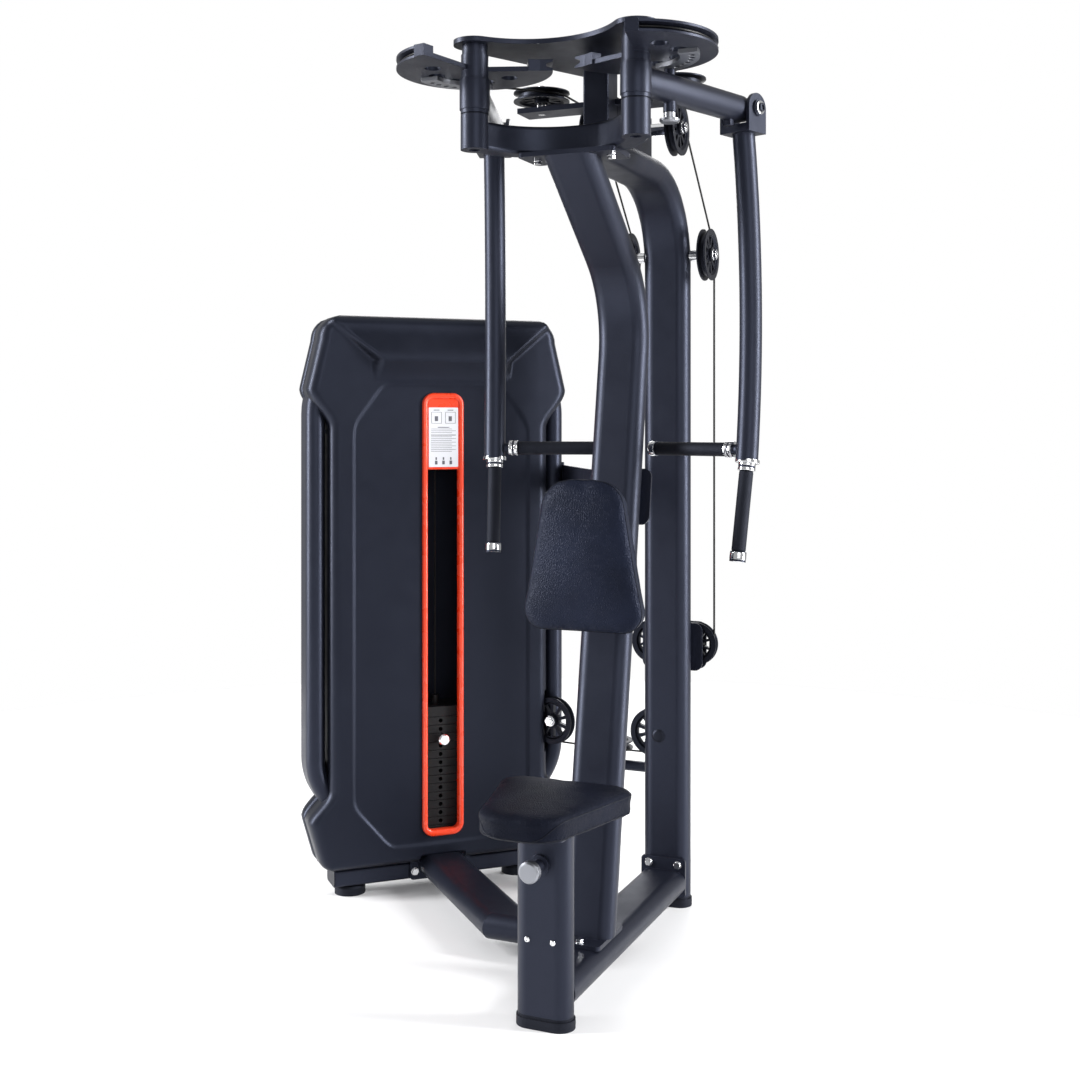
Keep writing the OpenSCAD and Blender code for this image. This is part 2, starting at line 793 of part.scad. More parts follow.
module seat_tube() {
    plate_z = seat_top - seat_t - seat_plate_t;
    pitch = seat_travel / (seat_stops - 1);
    color(coat) difference() {
        union() {
            translate([0, 0, seat_tube_low_z]) linear_extrude(plate_z - seat_tube_low_z)
                oval_ring(seat_tube_w, seat_tube_d);
            translate([0, (seat_front_y + seat_back_y) / 2, plate_z]) linear_extrude(seat_plate_t)
                rounded_rect(160, 200, 12);
        }
        for (i = [0:seat_stops - 1]) translate([0, -seat_tube_d / 2 + 6, pin_z - i * pitch])
            rotate([90, 0, 0]) cylinder(20, pin_r + gap, pin_r + gap, $fn = 32);
    }
}

module seat_pull_pin() {
    color(steel) translate([0, -seat_tube_d / 2 + 5, pin_z]) rotate([90, 0, 0])
        rotate_extrude($fn = 48) polygon([[0, 0], [pin_r - 1, 0], [pin_r, 1], [pin_r, 51],
            [16, 51], [22, 56], [22, 68], [18, 72], [0, 72]]);
}

// ---------- Weight tower ----------

module tower_base_bar() {
    color(coat) difference() {
        in_tower() translate([0, 0, (cap_h + bar_top_z) / 2]) rotate([90, 0, 90])
            linear_extrude(2 * bar_half_w, center = true) difference() {
                rounded_rect(bar_d, bar_top_z - cap_h, 8);
                rounded_rect(bar_d - 2 * wall, bar_top_z - cap_h - 2 * wall, 5);
            }
        beam_bolts() translate([0, 0, -flange_t]) bolt_hole(bolt_r, 5);
    }
}

// The tower's frame tube, with a clearance around it or hollow by its wall
module frame_loop(w, d) {
    half = pillar_x - pillar_bend_r;
    for (s = [-1, 1]) mirrored(s) {
        translate([pillar_x, 0, frame_low_z + pillar_bend_r])
            linear_extrude(frame_high_z - frame_low_z - 2 * pillar_bend_r) rotate(90) oval(d, w);
        translate([half, 0, frame_high_z - pillar_bend_r]) rotate([90, 0, 0])
            rotate_extrude(angle = 90, $fn = 96) translate([pillar_bend_r, 0]) rotate(90) oval(d, w);
        translate([half, 0, frame_low_z + pillar_bend_r]) rotate([90, 0, 0]) rotate(-90)
            rotate_extrude(angle = 90, $fn = 96) translate([pillar_bend_r, 0]) rotate(90) oval(d, w);
    }
    translate([0, 0, frame_high_z]) rotate([0, 90, 0])
        linear_extrude(2 * half, center = true) rotate(90) oval(d, w);
}

module tower_frame() {
    leg_w = 50;
    leg_d = 70;
    color(coat) difference() {
        in_tower() {
            difference() {
                frame_loop(pillar_w, pillar_d);
                frame_loop(pillar_w - 2 * wall, pillar_d - 2 * wall);
            }
            for (s = [-1, 1]) translate([s * leg_x, 0, bar_top_z])
                linear_extrude(frame_low_z - pillar_w / 2 - bar_top_z + 4) difference() {
                    rounded_rect(leg_w, leg_d, 6);
                    rounded_rect(leg_w - 2 * wall, leg_d - 2 * wall, 4);
                }
            for (n = [hanger_front - hanger_t, hanger_back]) difference() {
                translate([30, n, top_pulley_z - 20])
                    cube([climb_u - 65, hanger_t, frame_high_z - pillar_w / 2 - top_pulley_z + 24]);
                for (u = [small_groove_r, climb_u - small_groove_r])
                    translate([u, n - 1, top_pulley_z]) rotate([-90, 0, 0])
                        cylinder(hanger_t + 2, axle_r + fit, axle_r + fit, $fn = 32);
            }
            // Tab that carries the entry pulley's axle, on the right pillar
            translate([pillar_x - 9, -pillar_d / 2 - 12, base_pulley_z - 15]) cube([14, 15, 30]);
            // Bridge that holds the guide rods' tops under the pulleys
            difference() {
                translate([pillar_w / 2 - pillar_x - 2, -bridge_d / 2, rod_top_z])
                    cube([2 * pillar_x - pillar_w + 4, bridge_d, bridge_t]);
                translate([0, 0, rod_top_z - 1]) cylinder(bridge_t + 2, 8, 8, $fn = 32);
            }
        }
        at_entry_pulley() cylinder(44, axle_r + fit, axle_r + fit, center = true, $fn = 32);
    }
}

module guide_rods() {
    color(steel) in_tower() for (s = [-1, 1]) translate([s * rod_x, 0, bar_top_z])
        cylinder(rod_top_z - bar_top_z, rod_r, rod_r, $fn = 48);
}

module stack_bumpers() {
    color(dark) in_tower() for (s = [-1, 1]) translate([s * rod_x, 0, bar_top_z])
        linear_extrude(stack_z - bar_top_z) ring(28, rod_r + fit);
}

// Half the cover's width at a height: the foot, the waist between the pillars, the shoulders
function ease(t) = t * t * (3 - 2 * t);
function side_w(z) = z < 200 ? 316 + 36 * (z - shroud_low_z) / (200 - shroud_low_z)
    : z < 280 ? 352 - (352 - waist_half_w) * ease((z - 200) / 80)
    : z < 1210 ? waist_half_w
    : z < 1315 ? waist_half_w + (357 - waist_half_w) * ease((z - 1210) / 105)
    : 357 - 30 * (z - 1315) / (shoulder_z - 1315);
shoulder_z = 1442;
shoulder_r = tower_h - shoulder_z;
side_steps = concat([for (i = [0:6]) shroud_low_z + i * 20], [for (i = [0:8]) 200 + i * 10],
    [for (i = [0:7]) 1210 + i * 15], [shoulder_z]);
crown_steps = 8;

// The cover's outline seen from the front, drawn in by inset
module shroud_outline(inset) {
    flank = [for (z = side_steps) [side_w(z) - inset, max(z, shroud_low_z + inset)]];
    crown = [for (i = [1:crown_steps]) let (a = 90 * i / crown_steps)
        [side_w(shoulder_z) - shoulder_r + (shoulder_r - inset) * cos(a),
            shoulder_z + (shoulder_r - inset) * sin(a)]];
    right = concat(flank, crown);
    left = [for (i = [len(right) - 1:-1:0]) [-right[i].x, right[i].y]];
    polygon(concat(right, left));
}

// One half of the tower's cover, with its face at -Y
module shroud_shell() {
    seam = 1;
    difference() {
        translate([0, -seam, 0]) rotate([90, 0, 0]) linear_extrude(shroud_d - seam)
            shroud_outline(0);
        rotate([90, 0, 0]) linear_extrude(shroud_d - shroud_t) shroud_outline(shroud_t);
        translate([-waist_half_w, -shroud_d + shroud_t, 0])
            cube([2 * waist_half_w, shroud_d, shroud_low_z + 20]);
        frame_loop(pillar_w + 4, pillar_d + 4);
        // Slots in both flanks for the frame's bridge
        translate([-pillar_x, -bridge_d / 2 - gap, rod_top_z - gap])
            cube([2 * pillar_x, bridge_d + 2 * gap, bridge_t + 2 * gap]);
    }
}

module brow() {
    lip = 36;
    intersection() {
        rotate([90, 0, 90]) linear_extrude(2 * big, center = true)
            polygon([[-shroud_d, 1330], [-shroud_d - lip, 1388], [-shroud_d - lip / 2, 1470],
                [-shroud_d, 1476]]);
        rotate([90, 0, 0]) linear_extrude(big)
            polygon([[-180, 1320], [180, 1320], [182, 1388], [282, 1480], [-282, 1480],
                [-182, 1388]]);
    }
}

module front_shroud() {
    color(coat) in_tower() difference() {
        union() {
            shroud_shell();
            brow();
        }
        translate([-window_half_w - 2, -shroud_d - 1, window_low_z - 3])
            cube([2 * window_half_w + 4, shroud_t + 2, window_high_z - window_low_z + 6]);
        // Slot for the entry pulley in the right flank
        translate([waist_half_w - 30, -67, base_pulley_z - 80]) cube([60, 67, 160]);
        // Notch over the tower's beam
        translate([-tube_w / 2 - 2, -shroud_d - 1, 0]) cube([tube_w + 4, shroud_t + 2,
            base_top_z + 2]);
    }
}

module rear_shroud() {
    color(coat) in_tower() mirror([0, 1, 0]) difference() {
        shroud_shell();
        translate([waist_half_w - 20, -20, base_pulley_z - 80]) cube([40, 20, 160]);
    }
}

module window_bezel() {
    h = bezel_high_z - bezel_low_z;
    color(trim) in_tower() translate([0, -shroud_d, 0]) rotate([90, 0, 0])
        linear_extrude(bezel_t) difference() {
            translate([0, bezel_low_z + h / 2]) rounded_rect(2 * bezel_half_w, h, 10);
            translate([0, (window_low_z + window_high_z) / 2])
                rounded_rect(2 * window_half_w, window_high_z - window_low_z, 6);
        }
}

module placard() {
    low_z = 1120;
    high_z = 1290;
    color(steel) in_tower() translate([0, -shroud_d - bezel_t, (low_z + high_z) / 2])
        rotate([90, 0, 0]) linear_extrude(1.5) rounded_rect(86, high_z - low_z, 8);
}

module weight_plate(t) {
    difference() {
        linear_extrude(t) difference() {
            rounded_rect(weight_w, weight_d, 8);
            for (s = [-1, 1]) translate([s * rod_x, 0]) circle(rod_r + gap, $fn = 48);
            circle(stem_r + gap, $fn = 48);
        }
        translate([0, 0, weight_t / 2]) rotate([90, 0, 0])
            cylinder(weight_d, pin_r + gap, pin_r + gap, $fn = 32);
    }
}

module fixed_weight_plates() {
    color(dark) in_tower() for (i = [0:fixed_plates - 1])
        translate([0, 0, stack_z + i * plate_pitch]) weight_plate(weight_t);
}

module lifted_weight_plates() {
    stem_low_z = stack_z + 4;
    color(dark) in_tower() {
        for (i = [0:lifted_plates - 1])
            translate([0, 0, lifted_z + i * plate_pitch]) weight_plate(weight_t);
        difference() {
            union() {
                translate([0, 0, head_z]) linear_extrude(head_t) difference() {
                    rounded_rect(weight_w, weight_d, 8);
                    for (s = [-1, 1]) translate([s * rod_x, 0]) circle(rod_r + gap, $fn = 48);
                }
                translate([0, 0, stem_low_z]) cylinder(hook_z - stem_low_z, stem_r, stem_r,
                    $fn = 48);
            }
            for (i = [0:fixed_plates + lifted_plates - 1])
                translate([0, 0, stack_z + i * plate_pitch + weight_t / 2]) rotate([90, 0, 0])
                cylinder(4 * stem_r, pin_r + gap, pin_r + gap, center = true, $fn = 32);
        }
    }
}

module selector_pin() {
    color(steel) in_tower() translate([0, stem_r - 2, selector_z]) rotate([90, 0, 0])
        rotate_extrude($fn = 48) polygon([[0, 0], [pin_r - 1, 0], [pin_r, 1], [pin_r, 72],
            [12, 72], [15, 76], [15, 92], [12, 96], [0, 96]]);
}

module pulley_carriage() {
    plate_t = 5;
    plate_w = 2 * carriage_x + 44;
    plate_h = 122;
    color(dark) difference() {
        union() {
            for (y = [-21, 16]) translate([0, strand_y + y, carriage_low_z + plate_h / 2])
                rotate([-90, 0, 0]) linear_extrude(plate_t) rounded_rect(plate_w, plate_h, 20);
            for (s = [-1, 1]) at_carriage_pulley(s)
                cylinder(34, axle_r, axle_r, center = true, $fn = 32);
            translate([-18, strand_y - 17, carriage_low_z]) cube([36, 34, 14]);
        }
        translate([0, strand_y, carriage_low_z - 1]) cylinder(16, cable_r + gap, cable_r + gap,
            $fn = 24);
    }
}

// ---------- Cams and arms, drawn on the right ----------

module at_pivot(s) {
    mirrored(s) translate([pivot_x, pivot_y, 0]) children();
}

module at_arm(s) {
    at_pivot(s) rotate(arm_angle) children();
}

module cam(s) {
    rim_low_z = 1966;
    rim_high_z = 1990;
    rim_r = cam_r + 10;
    floor_r = cam_r - cable_r - cable_slack;
    web_t = 10;
    color(coat) at_pivot(s) difference() {
        union() {
            translate([0, 0, arm_hub_z + arm_hub_h + gap]) cylinder(49.7, 29, 29, $fn = 64);
            rotate(cam_front_a) rotate_extrude(angle = cam_tail_a - cam_front_a, $fn = 128)
                polygon([[20, rim_low_z], [rim_r, rim_low_z], [rim_r, cable_z - 7],
                    [floor_r, cable_z - 3], [floor_r, cable_z + 3], [rim_r, cable_z + 7],
                    [rim_r, rim_high_z], [cam_r - 18, rim_high_z], [cam_r - 18, rim_low_z + web_t],
                    [20, rim_low_z + web_t]]);
            // Clamp for the cable's end, and the tail stop
            rotate(cam_front_a) translate([cam_r - 18, 0, rim_low_z]) cube([30, 26, 24]);
            rotate(cam_tail_a - 10) translate([cam_r - 44, 0, rim_low_z]) cube([28, 24, 24]);
        }
        translate([0, 0, rim_low_z - 20])
            cylinder(60, shaft_r + fit, shaft_r + fit, $fn = 48);
        for (a = [-40:40:120]) rotate(a) translate([90, 0, rim_low_z - 1])
            cylinder(web_t + 2, 18, 18, $fn = 48);
    }
}

module index_plate(s) {
    low_a = 0;
    high_a = 82;
    color(steel) at_pivot(s) difference() {
        rotate(low_a) rotate_extrude(angle = high_a - low_a, $fn = 96)
            polygon([[88, index_z], [128, index_z], [128, index_z + index_t - fit],
                [88, index_z + index_t - fit]]);
        for (i = [0:start_stops - 1]) rotate(arm_angle - 10 * i)
            translate([start_pin_x, 0, index_z - 1])
            cylinder(index_t + 2, start_pin_r + gap, start_pin_r + gap, $fn = 32);
    }
}

module arm(s) {
    tube_r = 30;
    tube_end = arm_reach - 18;
    boss_top_z = index_z - 1.5;
    color(coat) at_arm(s) difference() {
        union() {
            translate([0, 0, arm_hub_z]) cylinder(arm_hub_h, hub_r, hub_r, $fn = 64);
            translate([0, 0, arm_z]) rotate([0, 90, 0]) linear_extrude(tube_end)
                ring(tube_r, tube_r - 4);
            translate([arm_reach, 0, arm_z]) rotate([90, 0, 0])
                cylinder(2 * barrel_half, barrel_r, barrel_r, center = true, $fn = 64);
            translate([start_pin_x, 0, arm_z]) cylinder(boss_top_z - arm_z, 11, 11, $fn = 48);
            translate([start_pin_x, 0, arm_z - tube_r - 18]) cylinder(30, 13.5, 13.5, $fn = 48);
            // Stop tab under the tube's end
            translate([arm_reach - 62, -9, arm_z - tube_r - 12]) cube([14, 18, 16]);
        }
        translate([0, 0, arm_hub_z - 1])
            cylinder(arm_hub_h + 2, shaft_r + fit, shaft_r + fit, $fn = 48);
        translate([arm_reach, 0, arm_z]) rotate([90, 0, 0])
            cylinder(4 * barrel_half, hinge_r + fit, hinge_r + fit, center = true, $fn = 48);
        translate([start_pin_x, 0, arm_z - 60])
            cylinder(120, start_pin_r + fit, start_pin_r + fit, $fn = 32);
    }
}

module start_pin(s) {
    tip_z = index_z + index_t - 1.5;
    knob_top_z = arm_z - 49;
    color(steel) at_arm(s) translate([start_pin_x, 0, 0])
        rotate_extrude($fn = 48) polygon([[0, tip_z], [start_pin_r - 1, tip_z],
            [start_pin_r, tip_z - 1], [start_pin_r, knob_top_z], [12.5, knob_top_z],
            [12.5, knob_top_z - 11], [21, knob_top_z - 13], [21, knob_top_z - 18],
            [17, knob_top_z - 21], [0, knob_top_z - 21]]);
}

// The stem under the long tube, from the top of the low grip downwards
module at_stem() {
    translate([handle_low_x, 0, handle_low_z - 14]) rotate([0, 180 + stem_lean, 0]) children();
}

module at_side_grip() {
    translate([side_grip_x, 0, side_grip_z]) rotate([-90, 0, 0]) children();
}

module handle(s) {
    cheek_t = 8;
    cheek_y = barrel_half + 0.5;
    cheek_r = 33;
    block_top_z = arm_z - 35;
    low_a = asin((bow_z - handle_low_z) / bow_r);
    high_a = asin((handle_top_z - bow_z) / bow_r);
    color(coat) at_arm(s) {
        for (k = [-1, 1]) translate([arm_reach, k * (cheek_y + cheek_t / 2), arm_z]) {
            rotate([90, 0, 0]) cylinder(cheek_t, cheek_r, cheek_r, center = true, $fn = 64);
            translate([-cheek_r, -cheek_t / 2, handle_top_z - 4 - arm_z])
                cube([2 * cheek_r, cheek_t, arm_z - handle_top_z + 4]);
        }
        translate([arm_reach - cheek_r, -cheek_y - 1, handle_top_z - 4])
            cube([2 * cheek_r, 2 * cheek_y + 2, block_top_z - handle_top_z + 4]);
        translate([arm_reach, 0, arm_z]) rotate([90, 0, 0])
            cylinder(2 * (cheek_y + cheek_t) - 2, hinge_r, hinge_r, center = true, $fn = 48);
        translate([arm_reach, -cheek_y - cheek_t, arm_z]) rotate([90, 0, 0])
            cylinder(5, 18, 18, $fn = 48);
        translate([bow_cx, 0, bow_z]) rotate([90, 0, 0]) rotate(-low_a)
            rotate_extrude(angle = low_a + high_a, $fn = 360) translate([bow_r, 0])
            ring(handle_r, handle_r - 3);
        at_stem() {
            translate([0, 0, -17]) cylinder(7, handle_r + 1, handle_r + 1, $fn = 48);
            translate([0, 0, -10]) cylinder(14, 19, 19, $fn = 48);
            cylinder(low_grip_len + 24, grip_core_r, grip_core_r, $fn = 48);
            translate([0, 0, low_grip_len + 8]) cylinder(22, 18, 18, $fn = 48);
        }
        at_side_grip() {
            translate([0, 0, handle_r - 2]) cylinder(side_grip_end - handle_r + 10, grip_core_r,
                grip_core_r, $fn = 48);
            translate([0, 0, 35]) cylinder(side_grip_start - 35, 18, 18, $fn = 48);
            translate([0, 0, side_grip_end]) cylinder(20, 17, 17, $fn = 48);
        }
    }
}

module grips(s) {
    color(dark) at_arm(s) {
        at_stem() translate([0, 0, 8]) linear_extrude(low_grip_len)
            ring(grip_r, grip_core_r + fit);
        at_side_grip() translate([0, 0, side_grip_start])
            linear_extrude(side_grip_end - side_grip_start) ring(grip_r, grip_core_r + fit);
    }
}

module frame_bolts() {
    color(steel) {
        spine_bolts() bolt();
        beam_bolts() bolt();
        foot_plate_bolts() bolt();
        top_flange_bolts() bolt();
        top_plate_bolts() bolt(bolt_r, 9);
    }
}

placed() {
    seat_post();
    post_sleeve();
    base_spine();
    tower_beam();
    main_column();
    rear_upright();
    crown_yoke();
    pivot_shafts();
    top_plate();
    top_post();
    pulley_axles();
    column_brace();
    rubber_feet();
    tower_base_bar();
    tower_frame();
    guide_rods();
    stack_bumpers();
    front_shroud();
    rear_shroud();
    window_bezel();
    placard();
    frame_bolts();
    back_pad();
    fixed_weight_plates();
    arm_cables();
    stack_cable();
    carriage_strands();
    pull_strand();
    lift_strand();
    seat_tube();
    seat_cushion();
    seat_pull_pin();
    lifted_weight_plates();
    selector_pin();
    pulley_carriage();
    cam(1);  // right_cam
    cam(-1);  // left_cam
    index_plate(1);  // right_index_plate
    index_plate(-1);  // left_index_plate
    arm(1);  // right_arm
    arm(-1);  // left_arm
    handle(1);  // right_handle
    handle(-1);  // left_handle
    grips(1);  // right_grips
    grips(-1);  // left_grips
    start_pin(1);  // right_start_pin
    start_pin(-1);  // left_start_pin
    color(dark) {
        at_crown_pulley(1) pulley(pulley_r);  // right_crown_pulley
        at_crown_pulley(-1) pulley(pulley_r);  // left_crown_pulley
        at_drop_pulley(1) pulley(pulley_r);  // right_drop_pulley
        at_drop_pulley(-1) pulley(pulley_r);  // left_drop_pulley
        at_side_pulley(1) pulley(pulley_r);  // right_side_pulley
        at_side_pulley(-1) pulley(pulley_r);  // left_side_pulley
        at_carriage_pulley(1) pulley(carriage_pulley_r);  // right_carriage_pulley
        at_carriage_pulley(-1) pulley(carriage_pulley_r);  // left_carriage_pulley
        at_base_pulley() pulley(small_pulley_r);  // base_pulley
        at_turn_pulley() pulley(small_pulley_r);  // turn_pulley
        at_entry_pulley() pulley(small_pulley_r);  // entry_pulley
        at_top_entry_pulley() pulley(small_pulley_r);  // top_entry_pulley
        at_top_stack_pulley() pulley(small_pulley_r);  // top_stack_pulley
    }
}
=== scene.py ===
import json
import math

import bmesh
import bpy
from mathutils import Matrix, Vector, geometry
from mathutils.bvhtree import BVHTree


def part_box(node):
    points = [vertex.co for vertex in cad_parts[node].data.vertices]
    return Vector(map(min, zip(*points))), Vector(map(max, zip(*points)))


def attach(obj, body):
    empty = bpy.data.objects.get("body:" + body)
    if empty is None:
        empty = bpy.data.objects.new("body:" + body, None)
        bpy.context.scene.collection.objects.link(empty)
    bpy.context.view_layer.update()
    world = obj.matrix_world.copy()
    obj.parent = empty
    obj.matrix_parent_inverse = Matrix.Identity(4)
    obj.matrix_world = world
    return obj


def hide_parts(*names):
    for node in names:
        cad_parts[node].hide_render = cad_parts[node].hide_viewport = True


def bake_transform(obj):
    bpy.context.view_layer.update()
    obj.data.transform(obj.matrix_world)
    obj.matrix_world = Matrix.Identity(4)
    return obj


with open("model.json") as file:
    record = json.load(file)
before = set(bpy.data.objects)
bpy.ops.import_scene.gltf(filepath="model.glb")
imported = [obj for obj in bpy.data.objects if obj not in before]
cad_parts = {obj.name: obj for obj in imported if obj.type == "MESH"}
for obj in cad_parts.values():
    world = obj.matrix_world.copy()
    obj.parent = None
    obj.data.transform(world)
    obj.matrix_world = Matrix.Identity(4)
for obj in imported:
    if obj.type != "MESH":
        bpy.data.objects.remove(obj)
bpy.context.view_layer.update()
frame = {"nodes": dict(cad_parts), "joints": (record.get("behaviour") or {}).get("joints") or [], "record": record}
joints = {joint["name"]: joint for joint in frame["joints"]}

Z = Vector((0, 0, 1))


# ---------- Places worked out from the frame ----------

def middle(node):
    low, high = (Vector(corner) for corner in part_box(node))
    return (low + high) / 2


def joint_at(name):
    return Vector(joints[name]["pos_m"])


# The machine's own frame starts at the foot of the seat post, 40 mm in front of the pivots
PIVOT_BACK = 0.040
POST = (joint_at("right_cam_turn").x + joint_at("left_cam_turn").x) / 2
MACHINE = Vector((POST, joint_at("right_cam_turn").y - PIVOT_BACK, 0))

# The tower's own frame: u across its face, n towards its back
TOWER_TURN = math.radians(45)
tower_middle = middle("guide_rods")
TOWER = (Matrix.Translation((tower_middle.x, tower_middle.y, 0))
         @ Matrix.Rotation(TOWER_TURN, 4, "Z"))


def arm_frame(side):
    """The frame of an arm: x along the arm, z up, from its pivot at the height 0."""
    pivot = joint_at("right_cam_turn")
    hinge = joint_at("right_handle_swing")
    angle = math.atan2(hinge.y - pivot.y, hinge.x - pivot.x)
    right = Matrix.Translation((pivot.x, pivot.y, 0)) @ Matrix.Rotation(angle, 4, "Z")
    if side == "right":
        return right
    across = Matrix.Translation((POST, 0, 0)) @ Matrix.Scale(-1, 4, (1, 0, 0))
    return across @ Matrix.Translation((-POST, 0, 0)) @ right


ARM_REACH = (joint_at("right_handle_swing").xy - joint_at("right_cam_turn").xy).length
HINGE_Z = joint_at("right_handle_swing").z


# ---------- Camera, light and floor ----------

CAMERA_PLACE = MACHINE + Vector((1.116, -2.621, 1.22))
CAMERA_TURN = math.radians(23.3)
# The white world's strength as the camera sees it, and as it lights the object
WORLD_SEEN = 1.0
WORLD_LIGHT = 0.42
FLOOR_RADIUS = 3.4
FLOOR_SIDES = 96


def make_camera():
    data = bpy.data.cameras.new("camera")
    data.lens = 46.67
    data.sensor_width = 36
    data.shift_y = -0.1065
    data.clip_end = 100
    camera = bpy.data.objects.new("camera", data)
    camera.location = CAMERA_PLACE
    camera.rotation_euler = (math.radians(90), 0, CAMERA_TURN)
    bpy.context.scene.collection.objects.link(camera)
    bpy.context.scene.camera = camera


def area_light(name, place, target, size, power):
    data = bpy.data.lights.new(name, "AREA")
    data.shape = "RECTANGLE"
    data.size, data.size_y = size
    data.energy = power
    light = bpy.data.objects.new(name, data)
    light.location = place
    light.rotation_euler = (Vector(target) - Vector(place)).to_track_quat("-Z", "Y").to_euler()
    bpy.context.scene.collection.objects.link(light)


def make_studio():
    target = (0, 0, 1.0)
    area_light("key", (2.6, -3.6, 2.3), target, (2.2, 2.2), 44)
    area_light("left_strip", (-3.6, -2.0, 1.9), target, (0.8, 3.4), 300)
    area_light("right_strip", (3.6, 0.6, 1.8), target, (0.8, 3.4), 240)
    area_light("back_strip", (-1.2, 3.8, 2.6), target, (3.0, 1.6), 80)
    area_light("overhead", (0, -0.4, 4.2), target, (3.2, 3.2), 12)
    world = bpy.data.worlds.new("studio")
    world.use_nodes = True
    tree = world.node_tree
    background = tree.nodes["Background"]
    background.inputs["Color"].default_value = (1, 1, 1, 1)
    # White behind the object, and a softer light on it
    path = tree.nodes.new("ShaderNodeLightPath")
    strength = tree.nodes.new("ShaderNodeMapRange")
    strength.inputs["To Min"].default_value = WORLD_LIGHT
    strength.inputs["To Max"].default_value = WORLD_SEEN
    tree.links.new(path.outputs["Is Camera Ray"], strength.inputs["Value"])
    tree.links.new(strength.outputs["Result"], background.inputs["Strength"])
    bpy.context.scene.world = world
    bpy.context.scene.view_settings.view_transform = "Standard"


def make_floor():
    angles = (2 * math.pi * k / FLOOR_SIDES for k in range(FLOOR_SIDES))
    rim = [(FLOOR_RADIUS * math.cos(a), FLOOR_RADIUS * math.sin(a), 0) for a in angles]
    mesh = mesh_of("floor", rim, [tuple(range(FLOOR_SIDES))], False)
    floor = bpy.data.objects.new("floor", mesh)
    bpy.context.scene.collection.objects.link(floor)
    floor.data.materials.append(surface("floor", (0.93, 0.93, 0.94), 0.6, mottle=0.005,
                                        grain=40, grain_depth=0.00005))


# ---------- Materials ----------

def node(tree, kind, **settings):
    made = tree.nodes.new(kind)
    for key, value in settings.items():
        setattr(made, key, value)
    return made


def surface(name, colour, roughness, metallic=0.0, grain=None, grain_depth=0.0, grain_kind="noise",
            mottle=0.12, smear=0.08, edge=0.0012, coat=0.0, specular=0.5, tint=(1, 1, 1)):
    """A procedural material: uneven colour and gloss, a fine grain, and softened edges."""
    material = bpy.data.materials.new(name)
    material.use_nodes = True
    tree = material.node_tree
    links = tree.links
    shader = tree.nodes["Principled BSDF"]
    shader.inputs["Metallic"].default_value = metallic
    shader.inputs["Coat Weight"].default_value = coat
    shader.inputs["Specular Tint"].default_value = (*tint, 1)
    shader.inputs["Specular IOR Level"].default_value = specular
    place = node(tree, "ShaderNodeTexCoord")

    cloud = node(tree, "ShaderNodeTexNoise")
    cloud.inputs["Scale"].default_value = 9
    cloud.inputs["Detail"].default_value = 6
    links.new(place.outputs["Object"], cloud.inputs["Vector"])
    ramp = node(tree, "ShaderNodeValToRGB")
    ramp.color_ramp.elements[0].position = 0.3
    ramp.color_ramp.elements[1].position = 0.7
    ramp.color_ramp.elements[0].color = [c * (1 - mottle) for c in colour] + [1]
    ramp.color_ramp.elements[1].color = [min(1, c * (1 + mottle)) for c in colour] + [1]
    links.new(cloud.outputs["Fac"], ramp.inputs["Fac"])
    links.new(ramp.outputs["Color"], shader.inputs["Base Color"])

    gloss = node(tree, "ShaderNodeMapRange")
    gloss.inputs["To Min"].default_value = max(0.02, roughness - smear)
    gloss.inputs["To Max"].default_value = min(1.0, roughness + smear)
    streaks = node(tree, "ShaderNodeTexNoise")
    streaks.inputs["Scale"].default_value = 23
    streaks.inputs["Detail"].default_value = 5
    links.new(place.outputs["Object"], streaks.inputs["Vector"])
    links.new(streaks.outputs["Fac"], gloss.inputs["Value"])
    links.new(gloss.outputs["Result"], shader.inputs["Roughness"])

    rounded = node(tree, "ShaderNodeBevel", samples=4)
    rounded.inputs["Radius"].default_value = edge
    normal = rounded.outputs["Normal"]
    if grain:
        if grain_kind == "cells":
            texture = node(tree, "ShaderNodeTexVoronoi", feature="DISTANCE_TO_EDGE")
            height = texture.outputs["Distance"]
        else:
            texture = node(tree, "ShaderNodeTexNoise")
            texture.inputs["Detail"].default_value = 3
            height = texture.outputs["Fac"]
        texture.inputs["Scale"].default_value = grain
        links.new(place.outputs["Object"], texture.inputs["Vector"])
        bump = node(tree, "ShaderNodeBump")
        bump.inputs["Strength"].default_value = 1.0
        bump.inputs["Distance"].default_value = grain_depth
        links.new(height, bump.inputs["Height"])
        links.new(normal, bump.inputs["Normal"])
        normal = bump.outputs["Normal"]
    links.new(normal, shader.inputs["Normal"])
    return material


# The cool cast of the dark coats' shine
COOL = (0.62, 0.70, 1.0)


